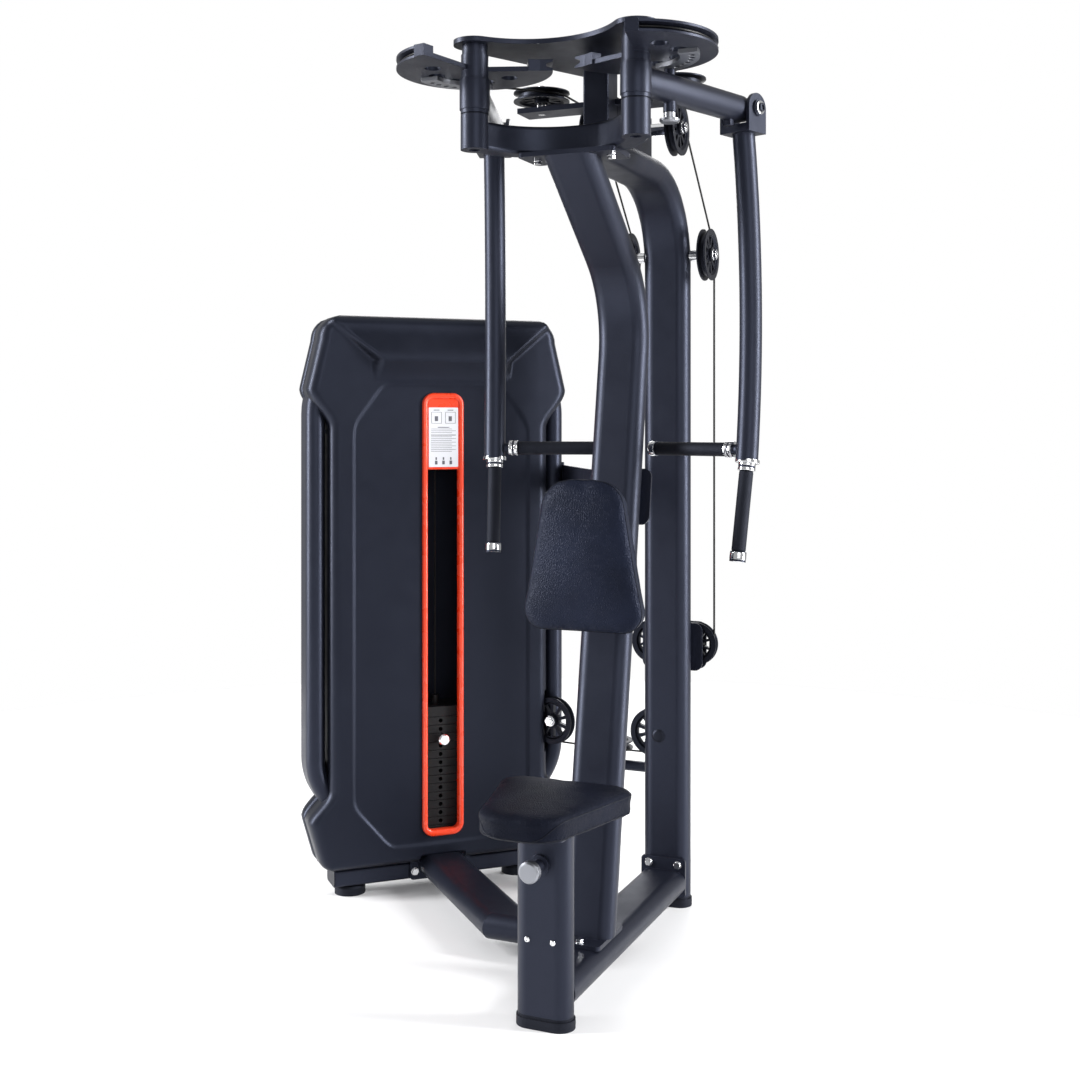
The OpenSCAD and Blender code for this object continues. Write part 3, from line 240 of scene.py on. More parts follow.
def make_materials():
    return {
        "frame_coat": surface("frame_coat", (0.0066, 0.0074, 0.0125), 0.40, grain=420,
                              grain_depth=0.00022, mottle=0.08, specular=0.42, tint=COOL),
        "shroud_plastic": surface("shroud_plastic", (0.0052, 0.0060, 0.0100), 0.38, grain=700,
                                  grain_depth=0.00016, mottle=0.06, edge=0.002, specular=0.34,
                                  tint=COOL),
        "trim_red": surface("trim_red", (0.80, 0.050, 0.012), 0.28, grain=260,
                            grain_depth=0.00006, mottle=0.05, coat=0.3),
        "chrome": surface("chrome", (0.80, 0.81, 0.83), 0.13, metallic=1.0, grain=160,
                          grain_depth=0.00003, mottle=0.03, smear=0.05),
        "satin_steel": surface("satin_steel", (0.30, 0.31, 0.34), 0.38, metallic=1.0, grain=520,
                               grain_depth=0.00006, mottle=0.06),
        "black_plastic": surface("black_plastic", (0.0045, 0.0047, 0.0065), 0.40, grain=600,
                                 grain_depth=0.00012, mottle=0.15, specular=0.3, tint=COOL),
        "label_film": surface("label_film", (0.66, 0.67, 0.71), 0.38, grain=300,
                              grain_depth=0.00003, mottle=0.03),
        "label_ink": surface("label_ink", (0.10, 0.10, 0.12), 0.5, grain=300,
                             grain_depth=0.00003),
        "upholstery": surface("upholstery", (0.0058, 0.0078, 0.0170), 0.42, grain=210,
                              grain_depth=0.0016, grain_kind="cells", mottle=0.3,
                              smear=0.08, specular=0.16, tint=COOL),
        # A darker, less shiny copy of the upholstery for the seat. Its darker base colour is painted shade on the
        # seat's top, not a different cover.
        "seat_upholstery_painted_shade": surface("seat_upholstery_painted_shade", (0.0056, 0.0066, 0.0120), 0.48, grain=210,
                              grain_depth=0.0014, grain_kind="cells", mottle=0.3, smear=0.06,
                              specular=0.07, tint=COOL),
        "piping": surface("piping", (0.0026, 0.0028, 0.0040), 0.5, grain=500, grain_depth=0.0003,
                          grain_kind="cells", mottle=0.2, specular=0.2, tint=COOL),
        "grip_rubber": surface("grip_rubber", (0.0045, 0.0046, 0.0058), 0.66, grain=380,
                               grain_depth=0.0009, mottle=0.25, specular=0.3, tint=COOL),
        "foot_rubber": surface("foot_rubber", (0.0045, 0.0046, 0.0058), 0.6, grain=300,
                               grain_depth=0.0004, mottle=0.2, specular=0.3, tint=COOL),
        "cable_jacket": surface("cable_jacket", (0.003, 0.003, 0.004), 0.38, grain=500,
                                grain_depth=0.0001, specular=0.3),
        "weight_iron": surface("weight_iron", (0.0045, 0.0045, 0.0055), 0.5, grain=240,
                               grain_depth=0.0005, mottle=0.2, edge=0.0025, specular=0.25),
    }


materials = make_materials()

# Looks that have no material slot of their own, and the slot that each goes by
SLOT_FOR_LOOK = {"seat_upholstery_painted_shade": "upholstery", "piping": "upholstery", "label_ink": "label_film"}


def coat_cad_nodes():
    slot_of = {part["node"]: part["material_slot"] for part in frame["record"]["subparts"]}
    for name, thing in frame["nodes"].items():
        thing.data.materials.clear()
        thing.data.materials.append(materials[slot_of[name]])


# ---------- Mesh helpers ----------

# Edges that turn more than this stay sharp on a smooth mesh
SHARP_ANGLE = math.radians(50)


def link(name, mesh, look, body, replaced=()):
    """Puts a mesh in the scene as a piece of the object."""
    piece = bpy.data.objects.new(name, mesh)
    bpy.context.scene.collection.objects.link(piece)
    dress(piece, look, body, replaced)
    return piece


def dress(piece, look, body, replaced=()):
    piece.data.materials.clear()
    piece.data.materials.append(materials[look])
    if body:
        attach(piece, body)
    SLOT_FOR_LOOK.get(look, look)
    if replaced:
        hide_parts(*replaced)


def mesh_of(name, points, faces, smooth=True):
    mesh = bpy.data.meshes.new(name)
    mesh.from_pydata([tuple(p) for p in points], [], faces)
    build = bmesh.new()
    build.from_mesh(mesh)
    bmesh.ops.remove_doubles(build, verts=build.verts, dist=1e-6)
    bmesh.ops.recalc_face_normals(build, faces=build.faces)
    build.to_mesh(mesh)
    build.free()
    for polygon in mesh.polygons:
        polygon.use_smooth = smooth
    if smooth:
        mesh.set_sharp_from_angle(angle=SHARP_ANGLE)
    return mesh


def ring_faces(rings, count, closed=False):
    """The four-sided faces between rings of count points each."""
    return [(i * count + k, i * count + (k + 1) % count,
             (i + 1) % rings * count + (k + 1) % count, (i + 1) % rings * count + k)
            for i in range(rings if closed else rings - 1) for k in range(count)]


def round_edges(profile, radius, steps=3):
    """Replaces each inner corner of an open profile by a short arc."""
    out = [profile[0]]
    for before, corner, after in zip(profile, profile[1:], profile[2:]):
        corner = Vector(corner)
        start = Vector(before) - corner
        end = Vector(after) - corner
        size = min(radius, start.length / 2.2, end.length / 2.2)
        a = corner + start.normalized() * size
        b = corner + end.normalized() * size
        for i in range(steps + 1):
            t = i / steps
            out.append(tuple(a * (1 - t) ** 2 + corner * 2 * t * (1 - t) + b * t ** 2))
    return out + [profile[-1]]


def lathe(name, profile, place, look, body, replaced=(), edge=0.0012, around=48):
    """A turned piece: profile is (radius, height) from axis to axis, place its frame."""
    rounded = round_edges(profile, edge)
    points = [place @ Vector((r * math.cos(2 * math.pi * k / around),
                              r * math.sin(2 * math.pi * k / around), h))
              for r, h in rounded for k in range(around)]
    faces = ring_faces(len(rounded), around)
    return link(name, mesh_of(name, points, faces), look, body, replaced)


def tube_mesh(name, path, radius, sides=14, closed=False):
    """A round tube along points, with a frame carried from ring to ring."""
    path = [Vector(p) for p in path]
    count = len(path)
    points = []
    normal = None
    for i, p in enumerate(path):
        if closed:
            heading = path[(i + 1) % count] - path[i - 1]
        else:
            heading = path[min(i + 1, count - 1)] - path[max(i - 1, 0)]
        heading.normalize()
        guess = normal or heading.orthogonal()
        normal = (guess - heading * guess.dot(heading)).normalized()
        side = heading.cross(normal)
        points += [p + radius * (math.cos(a) * normal + math.sin(a) * side)
                   for a in (2 * math.pi * k / sides for k in range(sides))]
    faces = ring_faces(count, sides, closed)
    if not closed:
        faces += [tuple(range(sides)), tuple((count - 1) * sides + k for k in range(sides))]
    return mesh_of(name, points, faces)


def arc(centre, across, up, radius, start, end, steps):
    angles = (math.radians(start + (end - start) * i / steps) for i in range(steps + 1))
    return [centre + radius * (math.cos(a) * across + math.sin(a) * up) for a in angles]


# ---------- Upholstery ----------

CORNER_STEPS = 60
OUTLINE_PITCH = 0.009
CLOTH_FRAMES = 15
SWELL = 0.004
# The pads' faces are this much prouder than their plain solids
PROUD = 0.003
FACE_SEAM_R = 0.0012
BACK_SEAM_R = 0.0013
BACK_SEAM_HEIGHT = 0.004
# How far along its outline the seat's seam leaves the bottom, and where it reaches the face
SEAT_ROLL = (0.040, 0.125)


def pad_outline(low_half, low_r, high_half, high_r, length):
    """The outline of a pad: the line round four circles, its low end at v = 0."""
    turns = [2 * math.pi * k / CORNER_STEPS for k in range(CORNER_STEPS)]
    corners = ((low_half - low_r, low_r, low_r), (high_half - high_r, length - high_r, high_r))
    points = [Vector((side * u + r * math.cos(a), v + r * math.sin(a)))
              for u, v, r in corners for side in (-1, 1) for a in turns]
    hull = [points[i] for i in geometry.convex_hull_2d(points)]
    dense = []
    for a, b in zip(hull, hull[1:] + hull[:1]):
        steps = max(1, int((b - a).length / OUTLINE_PITCH))
        dense += [a.lerp(b, i / steps) for i in range(steps)]
    return dense


def puff(piece, cap):
    """Blows the closed mesh up a little as cloth, and holds each point within cap."""
    bpy.context.view_layer.objects.active = piece
    remesh = piece.modifiers.new("remesh", "REMESH")
    remesh.mode = "VOXEL"
    remesh.voxel_size = 0.006
    bpy.ops.object.modifier_apply(modifier=remesh.name)
    before = [v.co.copy() for v in piece.data.vertices]
    cloth = piece.modifiers.new("cloth", "CLOTH")
    cloth.settings.quality = 5
    cloth.settings.mass = 0.4
    cloth.settings.tension_stiffness = 22
    cloth.settings.compression_stiffness = 22
    cloth.settings.bending_stiffness = 2
    cloth.settings.use_pressure = True
    cloth.settings.uniform_pressure_force = 4
    cloth.settings.effector_weights.gravity = 0
    scene = bpy.context.scene
    for step in range(1, CLOTH_FRAMES + 1):
        scene.frame_set(step)
    swollen = piece.evaluated_get(bpy.context.evaluated_depsgraph_get()).to_mesh()
    after = [v.co.copy() for v in swollen.vertices]
    piece.evaluated_get(bpy.context.evaluated_depsgraph_get()).to_mesh_clear()
    piece.modifiers.clear()
    scene.frame_set(1)
    for v, old, new in zip(piece.data.vertices, before, after):
        move = new - old
        if move.length > cap:
            move = move.normalized() * cap
        v.co = old + move


def pad_shape(thickness, crown, edge, half):
    """How far in from the outline, and how high, from the middle of the back to the face."""
    shape = [(half, 0.0), (0.5 * half, 0.0), (0.016, 0.0), (0.006, 0.0008), (0.0015, 0.005),
             (0.0030, 0.3 * thickness), (0.0030, 0.5 * thickness)]
    rim = thickness - crown - edge
    shape += [(edge * (1 - math.cos(a)), rim + edge * math.sin(a))
              for a in (math.radians(15 * k) for k in range(7))]
    for t in (0.12, 0.28, 0.5, 0.75, 1.0):
        shape.append((edge + t * (half - edge), thickness - crown * (1 - t) ** 2))
    return shape


def pad(name, node_name, outline, size, place, body, look="upholstery", front_roll=None):
    """A foam pad: a crowned face, a side band that pulls in, and a flat back.

    size is its thickness, the rise of its crown, and the radius of its edge.
    """
    thickness, crown, edge = size
    centre = sum(outline, Vector((0, 0))) / len(outline)
    half = min((p - centre).length for p in outline)

    def at(p, inset, height):
        inner = centre + (p - centre) * (1 - inset / half)
        return place @ Vector((inner.x, inner.y, height))

    shape = pad_shape(thickness, crown, edge, half)
    count = len(outline)
    points = [at(p, inset, height) for inset, height in shape for p in outline]
    faces = ring_faces(len(shape), count)
    piece = link(name, mesh_of(name, points, faces), look, body, (node_name,))
    puff(piece, SWELL)
    for polygon in piece.data.polygons:
        polygon.use_smooth = True
    soften = piece.modifiers.new("soften", "SMOOTH")
    soften.factor = 0.5
    soften.iterations = 3
    finer = piece.modifiers.new("finer", "SUBSURF")
    finer.levels = finer.render_levels = 1
    seam_height = thickness - crown - 0.6 * edge
    face_path = [at(p, 0.0012, seam_height) for p in outline]
    if front_roll:
        face_path = roll_seam(outline, front_roll, at, seam_height)
    face_seam = tube_mesh(name, laid_on(piece, face_path), FACE_SEAM_R, 8, not front_roll)
    link(f"{name}_face_seam", face_seam, "piping", body)
    back_path = [at(p, 0.0030, BACK_SEAM_HEIGHT) for p in outline]
    back_seam = tube_mesh(name, laid_on(piece, back_path), BACK_SEAM_R, 8, True)
    link(f"{name}_back_seam", back_seam, "piping", body)


def laid_on(piece, path):
    """The path with each point at the nearest place on the piece's final surface."""
    shape = BVHTree.FromObject(piece, bpy.context.evaluated_depsgraph_get())
    return [shape.find_nearest(p)[0] for p in path]


def roll_seam(outline, front_roll, at, seam_height):
    """The seam of a pad whose cover rolls over its front edge: it comes up from the bottom on
    one side of the front, runs round the back, and goes down on the other side."""
    first = min(range(len(outline)), key=lambda i: outline[i].y + abs(outline[i].x))
    line = outline[first:] + outline[:first]
    start, end = front_roll
    path = []
    for k, p in enumerate(line):
        before = sum((b - a).length for a, b in zip(line[:k], line[1:k + 1]))
        after = sum((b - a).length for a, b in zip(line[k:], line[k + 1:] + line[:1]))
        along = min(before, after)
        if along >= start:
            rise = ease((along - start) / (end - start))
            path.append(at(p, 0.0014, BACK_SEAM_HEIGHT + (seam_height - BACK_SEAM_HEIGHT) * rise))
    return path


def make_seat():
    low, high = (Vector(c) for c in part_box("seat_cushion"))
    half = (high.x - low.x) / 2
    outline = pad_outline(0.100, 0.075, half, 0.045, high.y - low.y)
    place = Matrix.Translation(((low.x + high.x) / 2, low.y, low.z))
    size = (high.z - low.z + PROUD, 0.008, 0.012)
    # The seat wears the darker copy of the upholstery, whose base colour holds painted shade.
    pad("seat_pad", "seat_cushion", outline, size, place, "seat", "seat_upholstery_painted_shade", SEAT_ROLL)


def make_back_pad():
    low, high = (Vector(c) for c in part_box("back_pad"))
    half = (high.x - low.x) / 2
    outline = pad_outline(half, 0.046, 0.101, 0.070, high.z - low.z)
    place = Matrix(((1, 0, 0, (low.x + high.x) / 2), (0, 0, -1, high.y), (0, 1, 0, low.z),
                    (0, 0, 0, 1)))
    size = (high.y - low.y + PROUD, 0.010, 0.015)
    pad("backrest_pad", "back_pad", outline, size, place, "frame")


# ---------- The tower's covers ----------

COVER_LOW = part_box("front_shroud")[0][2]
COVER_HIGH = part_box("front_shroud")[1][2]
COVER_DEPTH = 0.073
# Half the covers' width at the foot, the hips, the waist, the chest and the shoulders,
# and the heights where it changes
FOOT = 0.316
HIPS = 0.352
WAIST = 0.301
CHEST = 0.357
SHOULDERS = 0.327
HIP_Z = 0.200
HIP_TAPER = 0.080
WAIST_Z = 1.0
CHEST_Z = 1.315
CHEST_TAPER = 0.105
SHOULDER_Z = 1.442
SHOULDER_R = COVER_HIGH - SHOULDER_Z
FOOT_R = 0.024


def ease(t):
    t = min(1.0, max(0.0, t))
    return t * t * (3 - 2 * t)


def flank(z):
    """Half the cover's width at a height."""
    if z < HIP_Z:
        return FOOT + (HIPS - FOOT) * (z - COVER_LOW) / (HIP_Z - COVER_LOW)
    if z < WAIST_Z:
        return HIPS - (HIPS - WAIST) * ease((z - HIP_Z) / HIP_TAPER)
    if z < CHEST_Z:
        return WAIST + (CHEST - WAIST) * ease((z - CHEST_Z + CHEST_TAPER) / CHEST_TAPER)
    return CHEST - (CHEST - SHOULDERS) * (z - CHEST_Z) / (SHOULDER_Z - CHEST_Z)


def half_width(z):
    """The same, with the round top and bottom corners."""
    if z > SHOULDER_Z:
        rise = z - SHOULDER_Z
        return flank(SHOULDER_Z) - SHOULDER_R + math.sqrt(max(0.0, SHOULDER_R ** 2 - rise ** 2))
    if z < COVER_LOW + FOOT_R:
        drop = 1 - (z - COVER_LOW) / FOOT_R
        return flank(z) - FOOT_R * (1 - math.sqrt(max(0.0, 1 - drop * drop)))
    return flank(z)


# The groove that frames the front's middle: half its width, and how far its corners are cut
GROOVE_HALF = 0.238
GROOVE_LOW = 0.125
GROOVE_HIGH = 1.325
GROOVE_CUT_TOP = (0.078, 0.105)
GROOVE_CUT_LOW = (0.098, 0.113)
GROOVE_SOFT = 0.006


def groove_distance(u, z):
    """Distance inwards from the groove's eight-sided line; negative outside it."""
    across = GROOVE_HALF - abs(u)
    below_top, above_foot = GROOVE_HIGH - z, z - GROOVE_LOW
    distances = [across, above_foot, below_top]
    for (cut_u, cut_z), height in ((GROOVE_CUT_TOP, below_top), (GROOVE_CUT_LOW, above_foot)):
        distances.append((across * cut_z + height * cut_u - cut_u * cut_z)
                         / math.hypot(cut_u, cut_z))
    # A soft minimum, which rounds the corners
    nearest = min(distances)
    return nearest - GROOVE_SOFT * math.log(sum(math.exp((nearest - d) / GROOVE_SOFT)
                                                for d in distances))


BROW_LIP_Z = 1.388
BROW_ROOT_Z = 1.335
BROW_OUT = 0.036


def brow(u, z):
    """How far the forehead stands out."""
    if z < BROW_ROOT_Z:
        return 0.0
    half = 0.185 + 0.11 * max(0.0, z - BROW_LIP_Z) / 0.09
    side = ease((half + 0.010 - abs(u)) / 0.03)
    if z < BROW_LIP_Z:
        return BROW_OUT * side * ((z - BROW_ROOT_Z) / (BROW_LIP_Z - BROW_ROOT_Z)) ** 1.3
    return side * (BROW_OUT - 0.024 * ease((z - BROW_LIP_Z) / 0.09))


# The middle lies back by this step, inside the groove
FACE_STEP = 0.004
RIM_R = 0.030


def cover_front(u, z, half, plain):
    """How far the cover's face stands forward of the seam, at u and z."""
    rim = min(half - abs(u), (COVER_HIGH - z) * 1.2, (z - COVER_LOW) * 1.5 + 0.004)
    fall = RIM_R - math.sqrt(max(0.0, RIM_R ** 2 - max(0.0, RIM_R - rim) ** 2))
    depth = COVER_DEPTH - fall
    inner = groove_distance(u, z)
    if plain:
        return depth - 0.003 * math.exp(-(inner / 0.004) ** 2)
    step = FACE_STEP * (1 - ease((inner + 0.002) / 0.007))
    line = 0.0022 * math.exp(-(inner / 0.0026) ** 2)
    return depth - FACE_STEP + step - line + brow(u, z)


WINDOW_LOW, WINDOW_HIGH = 0.159, 1.107
WINDOW_HALF = 0.0425
# The entry pulley's slot in the right flank, and the notch over the beam
ENTRY_Z = joint_at("entry_pulley_turn").z
ENTRY_SLOT = 0.080
BEAM_HALF = 0.0605
BEAM_TOP = 0.0955


def opening(u, n, z, plain):
    """True where a cover is open."""
    beside = abs(z - ENTRY_Z) < ENTRY_SLOT and u > WAIST - 0.030
    if plain:
        return beside and n < 0.020
    window = abs(u) < WINDOW_HALF + 0.003 and WINDOW_LOW - 0.003 < z < WINDOW_HIGH + 0.003
    return window or (beside and n > -0.067) or (abs(u) < BEAM_HALF and z < BEAM_TOP)


SHELL_THICKNESS = 0.0035
SEAM_GAP = 0.001
# The mesh of a cover: the height of a row and the number of columns, in the plain rear one
# and the detailed front one, and how the columns crowd to its flanks
PLAIN_MESH = (0.009, 121)
FRONT_MESH = (0.0045, 241)
CROWDING = 0.96


def cover(name, node_name, facing, plain):
    """A moulded half cover. facing is -1 for the front and 1 for the rear."""
    pitch, columns = PLAIN_MESH if plain else FRONT_MESH
    count = int((COVER_HIGH - COVER_LOW - 0.001) / pitch)
    rows = [COVER_LOW + 0.0005 + (COVER_HIGH - COVER_LOW - 0.0012) * i / count
            for i in range(count + 1)]
    points, faces = [], []
    for z in rows:
        half = half_width(z)
        points.append((-half, facing * SEAM_GAP, z))
        for k in range(columns):
            t = -1 + 2 * k / (columns - 1)
            u = half * math.copysign(abs(t) ** CROWDING, t)
            points.append((u, facing * cover_front(u, z, half, plain), z))
        points.append((half, facing * SEAM_GAP, z))
    width = columns + 2
    for i in range(len(rows) - 1):
        for k in range(width - 1):
            u = (points[i * width + k][0] + points[i * width + k + 1][0]) / 2
            z = (rows[i] + rows[i + 1]) / 2
            n = (points[i * width + k][1] + points[i * width + k + 1][1]) / 2
            if not opening(u, n, z, plain):
                faces.append((i * width + k, i * width + k + 1, (i + 1) * width + k + 1,
                              (i + 1) * width + k))
    top = (len(rows) - 1) * width
    faces.append(tuple(top + k for k in range(width)))
    mesh = mesh_of(name, [TOWER @ Vector(p) for p in points], faces)
    piece = link(name, mesh, "shroud_plastic", "frame", (node_name,))
    shell = piece.modifiers.new("shell", "SOLIDIFY")
    shell.thickness = SHELL_THICKNESS
    shell.offset = -1


# A half-round bead: how far across from the outer line to the inner one, and how high
BEAD = [(0, 0.0), (0, 0.40), (0.05, 0.66), (0.15, 0.86), (0.30, 0.97), (0.5, 1.0),
        (0.70, 0.97), (0.85, 0.86), (0.95, 0.66), (1, 0.40), (1, -1.0)]


def bead_ring(name, outer, inner, depth, lift, look, replaced=()):
    """A raised frame of half-round section on the tower's face."""
    count = len(outer)
    points = [TOWER @ Vector((a[0] + (b[0] - a[0]) * across, -depth - lift * rise,
                              a[1] + (b[1] - a[1]) * across))
              for across, rise in BEAD for a, b in zip(outer, inner)]
    faces = ring_faces(len(BEAD), count)
    return link(name, mesh_of(name, points, faces), look, "frame", replaced)


PLATE_SOFT = 0.0006


def face_plate(name, outline, low, high, look, replaced=(), place=TOWER):
    """A flat plate on the tower's face, or on place's -Y side, between two depths."""
    count = len(outline)
    middle_u = sum(u for u, z in outline) / count
    middle_z = sum(z for u, z in outline) / count
    inset = [(u - math.copysign(PLATE_SOFT, u - middle_u),
              z - math.copysign(PLATE_SOFT, z - middle_z)) for u, z in outline]
    layers = [(outline, low), (outline, high - PLATE_SOFT), (inset, high)]
    points = [place @ Vector((u, -depth, z)) for line, depth in layers for u, z in line]
    faces = [tuple(range(count)), tuple(range(2 * count, 3 * count))]
    faces += ring_faces(len(layers), count)
    return link(name, mesh_of(name, points, faces, False), look, "frame", replaced)


def rounded_outline(low_u, high_u, low_z, high_z, radius, steps=8):
    corners = [(high_u - radius, low_z + radius, -90), (high_u - radius, high_z - radius, 0),
               (low_u + radius, high_z - radius, 90), (low_u + radius, low_z + radius, 180)]
    return [(u + radius * math.cos(math.radians(start + 90 * i / steps)),
             z + radius * math.sin(math.radians(start + 90 * i / steps)))
            for u, z, start in corners for i in range(steps + 1)]


COVER_FACE = COVER_DEPTH - FACE_STEP
BEZEL_HALF = 0.0565
BEZEL_LOW, BEZEL_HIGH = 0.142, 1.304
BEZEL_RISE = 0.0095
PLATE_LOW, PLATE_HIGH = 1.1035, 1.289
PRINT_LOW, PRINT_HIGH = 1.1095, 1.266
PLATE_DEPTH = COVER_FACE + 0.0050
GASKET_R = 0.0016
GASKET_PITCH = 0.0119
GASKET_RINGS = 112


def make_tower():
    cover("front_cover", "front_shroud", -1, False)
    cover("rear_cover", "rear_shroud", 1, True)
    outer = rounded_outline(-BEZEL_HALF, BEZEL_HALF, BEZEL_LOW, BEZEL_HIGH, 0.030)
    inner = rounded_outline(-WINDOW_HALF, WINDOW_HALF, WINDOW_LOW, PLATE_HIGH, 0.015)
    bead_ring("window_frame", outer, inner, COVER_FACE, BEZEL_RISE, "trim_red",
              ("window_bezel",))
    make_placard()
    # The gasket in the seam between the covers, up each side
    heights = [COVER_LOW + 0.002 + i * GASKET_PITCH for i in range(GASKET_RINGS)]
    for side, name in ((1, "right_gasket"), (-1, "left_gasket")):
        path = [TOWER @ Vector((side * (half_width(z) - 0.001), 0, z)) for z in heights]
        link(name, tube_mesh(name, path, GASKET_R, 8), "foot_rubber", "frame")


def make_placard():
    """The placard on its red backing, under a red header."""
    backing = rounded_outline(-0.0432, 0.0432, PLATE_LOW, PLATE_HIGH, 0.004)
    face_plate("plate_backing", backing, COVER_FACE - 0.008, PLATE_DEPTH, "trim_red")
    header = rounded_outline(-0.0405, 0.0405, PRINT_HIGH + 0.0015, PLATE_HIGH - 0.003, 0.002)
    face_plate("plate_header", header, PLATE_DEPTH - 0.001, PLATE_DEPTH + 0.0009, "trim_red")
    sheet = rounded_outline(-0.0405, 0.0405, PRINT_LOW, PRINT_HIGH, 0.002)
    face_plate("instruction_plate", sheet, PLATE_DEPTH - 0.001, PLATE_DEPTH + 0.0012,
               "label_film", ("placard",))
    make_print(picture_blocks() + line_blocks() + mark_blocks())


# The placard's print is plain blocks: left, right, low and high edges
PICTURE_U = 0.019
PICTURE_HALF = 0.014
PICTURE_LINE = 0.0009
LINE_COUNT = 14
HEADING_LINES = (0, 4)
LINE_PITCH = 0.0048
MARKS_U = (-0.020, 0, 0.020)
# How far the print reaches back into the placard and stands out of it
PRINT_BACK, PRINT_FRONT = 0.0010, 0.0016


def picture_blocks():
    """Two framed pictures side by side, each with a plain block in it and a bar over it."""
    blocks = []
    low, high = PRINT_HIGH - 0.042, PRINT_HIGH - 0.012
    for u in (-PICTURE_U, PICTURE_U):
        left, right = u - PICTURE_HALF, u + PICTURE_HALF
        blocks += [(left, left + PICTURE_LINE, low, high), (right - PICTURE_LINE, right, low, high),
                   (left, right, low, low + PICTURE_LINE), (left, right, high - PICTURE_LINE, high),
                   (u - 0.005, u + 0.004, low + 0.006, low + 0.019),
                   (u - 0.008, u + 0.008, high + 0.004, high + 0.006)]
    return blocks


def line_blocks():
    """Bars of uneven length in place of lines of print, the headings a little thicker."""
    blocks = []
    line = PRINT_HIGH - 0.050
    for k in range(LINE_COUNT):
        heading = k in HEADING_LINES
        line -= 0.0012 if heading else 0
        left, right = (-0.016, 0.016) if k == 0 else (-0.034, 0.034 - 0.011 * (k * k % 4))
        blocks.append((left, right, line - 0.0010 - 0.0008 * heading, line))
        line -= LINE_PITCH
    return blocks


def mark_blocks():
    """Three small marks along the placard's foot, each a body and a head."""
    bodies = [(u - 0.0035, u + 0.0035, PRINT_LOW + 0.007, PRINT_LOW + 0.017) for u in MARKS_U]
    return bodies + [(u - 0.002, u + 0.002, PRINT_LOW + 0.019, PRINT_LOW + 0.026)
                     for u in MARKS_U]


def make_print(blocks):
    points, faces = [], []
    for left, right, low, high in blocks:
        first = len(points)
        for u, z in ((left, low), (right, low), (right, high), (left, high)):
            points += [TOWER @ Vector((u, -PLATE_DEPTH - h, z)) for h in (PRINT_BACK, PRINT_FRONT)]
        faces += [(first, first + 2, first + 4, first + 6),
                  (first + 1, first + 7, first + 5, first + 3)]
        faces += [(first + 2 * k, first + 2 * k + 1, first + (2 * k + 3) % 8,
                   first + (2 * k + 2) % 8) for k in range(4)]
    link("instruction_print", mesh_of("instruction_print", points, faces, False), "label_ink",
         "frame")


# ---------- Handles ----------

GRIP_R = 0.0158
GRIP_BORE = 0.0119
LOW_GRIP_START = 0.008
LOW_GRIP_END = 0.188
SIDE_GRIP_START = 0.055
SIDE_GRIP_END = 0.250
SIDE_GRIP_Z = 1.165
# The long tube is bowed: its radius, the height of its widest point and how far out that is
BOW_R = 3.0
BOW_Z = 1.450
BOW_OUT = 0.031
HANDLE_LOW_Z = 1.140
STEM_LEAN = math.radians(10)
HINGE_FACE = -0.0435


def bow_x(z):
    """How far out the long tube's middle is at a height."""
    return ARM_REACH + BOW_OUT - BOW_R + math.sqrt(BOW_R ** 2 - (BOW_Z - z) ** 2)


def stem_place():
    """The low grip's frame on its arm, with the axis down the grip."""
    return (Matrix.Translation((bow_x(HANDLE_LOW_Z), 0, HANDLE_LOW_Z - 0.014))
            @ Matrix.Rotation(math.pi + STEM_LEAN, 4, "Y"))


def side_place():
    """The side grip's frame on its arm, with the axis along the grip."""
    return Matrix.Translation((bow_x(SIDE_GRIP_Z), 0, SIDE_GRIP_Z)) @ Matrix.Rotation(
        -math.pi / 2, 4, "X")


def hinge_place():
    """The frame of the hinge bolt's face on its arm."""
    return Matrix.Translation((ARM_REACH, HINGE_FACE, HINGE_Z)) @ Matrix.Rotation(
        math.pi / 2, 4, "X")


def sleeve_profile(start, end):
    return [(GRIP_BORE, start), (GRIP_R - 0.0015, start), (GRIP_R, start + 0.004),
            (GRIP_R, end - 0.004), (GRIP_R - 0.0015, end), (GRIP_BORE, end)]


def make_low_grip(side, stem, body):
    lathe(f"{side}_low_grip", sleeve_profile(LOW_GRIP_START, LOW_GRIP_END), stem, "grip_rubber",
          body, (f"{side}_grips",))
    lathe(f"{side}_tube_washer", [(0, -0.0175), (0.0272, -0.0175), (0.0272, -0.0095),
                                  (0, -0.0095)], stem, "chrome", body)
    lathe(f"{side}_collar", [(0, -0.0100), (0.0196, -0.0100), (0.0196, -0.004),
                             (0.0182, -0.003), (0.0182, 0.0005), (0.0196, 0.0015),
                             (0.0196, 0.0078), (0, 0.0078)], stem, "chrome", body)
    cap = LOW_GRIP_END
    lathe(f"{side}_low_cap", [(0, cap + 0.0002), (0.0182, cap + 0.0002), (0.0186, cap + 0.016),
                              (0.0166, cap + 0.0225), (0, cap + 0.0235)], stem, "chrome", body,
          edge=0.003)


def make_side_grip(side, across, body):
    lathe(f"{side}_side_grip", sleeve_profile(SIDE_GRIP_START, SIDE_GRIP_END), across,
          "grip_rubber", body)
    lathe(f"{side}_side_collar", [(0, 0.034), (0.0186, 0.034), (0.0186, 0.042), (0.0172, 0.043),
                                  (0.0172, 0.046), (0.0186, 0.047), (0.0186, 0.0548),
                                  (0, 0.0548)], across, "chrome", body)
    cap = SIDE_GRIP_END
    lathe(f"{side}_side_cap", [(0, cap + 0.0002), (0.0175, cap + 0.0002), (0.0178, cap + 0.015),
                               (0.0160, cap + 0.0210), (0, cap + 0.0215)], across, "chrome",
          body, edge=0.003)


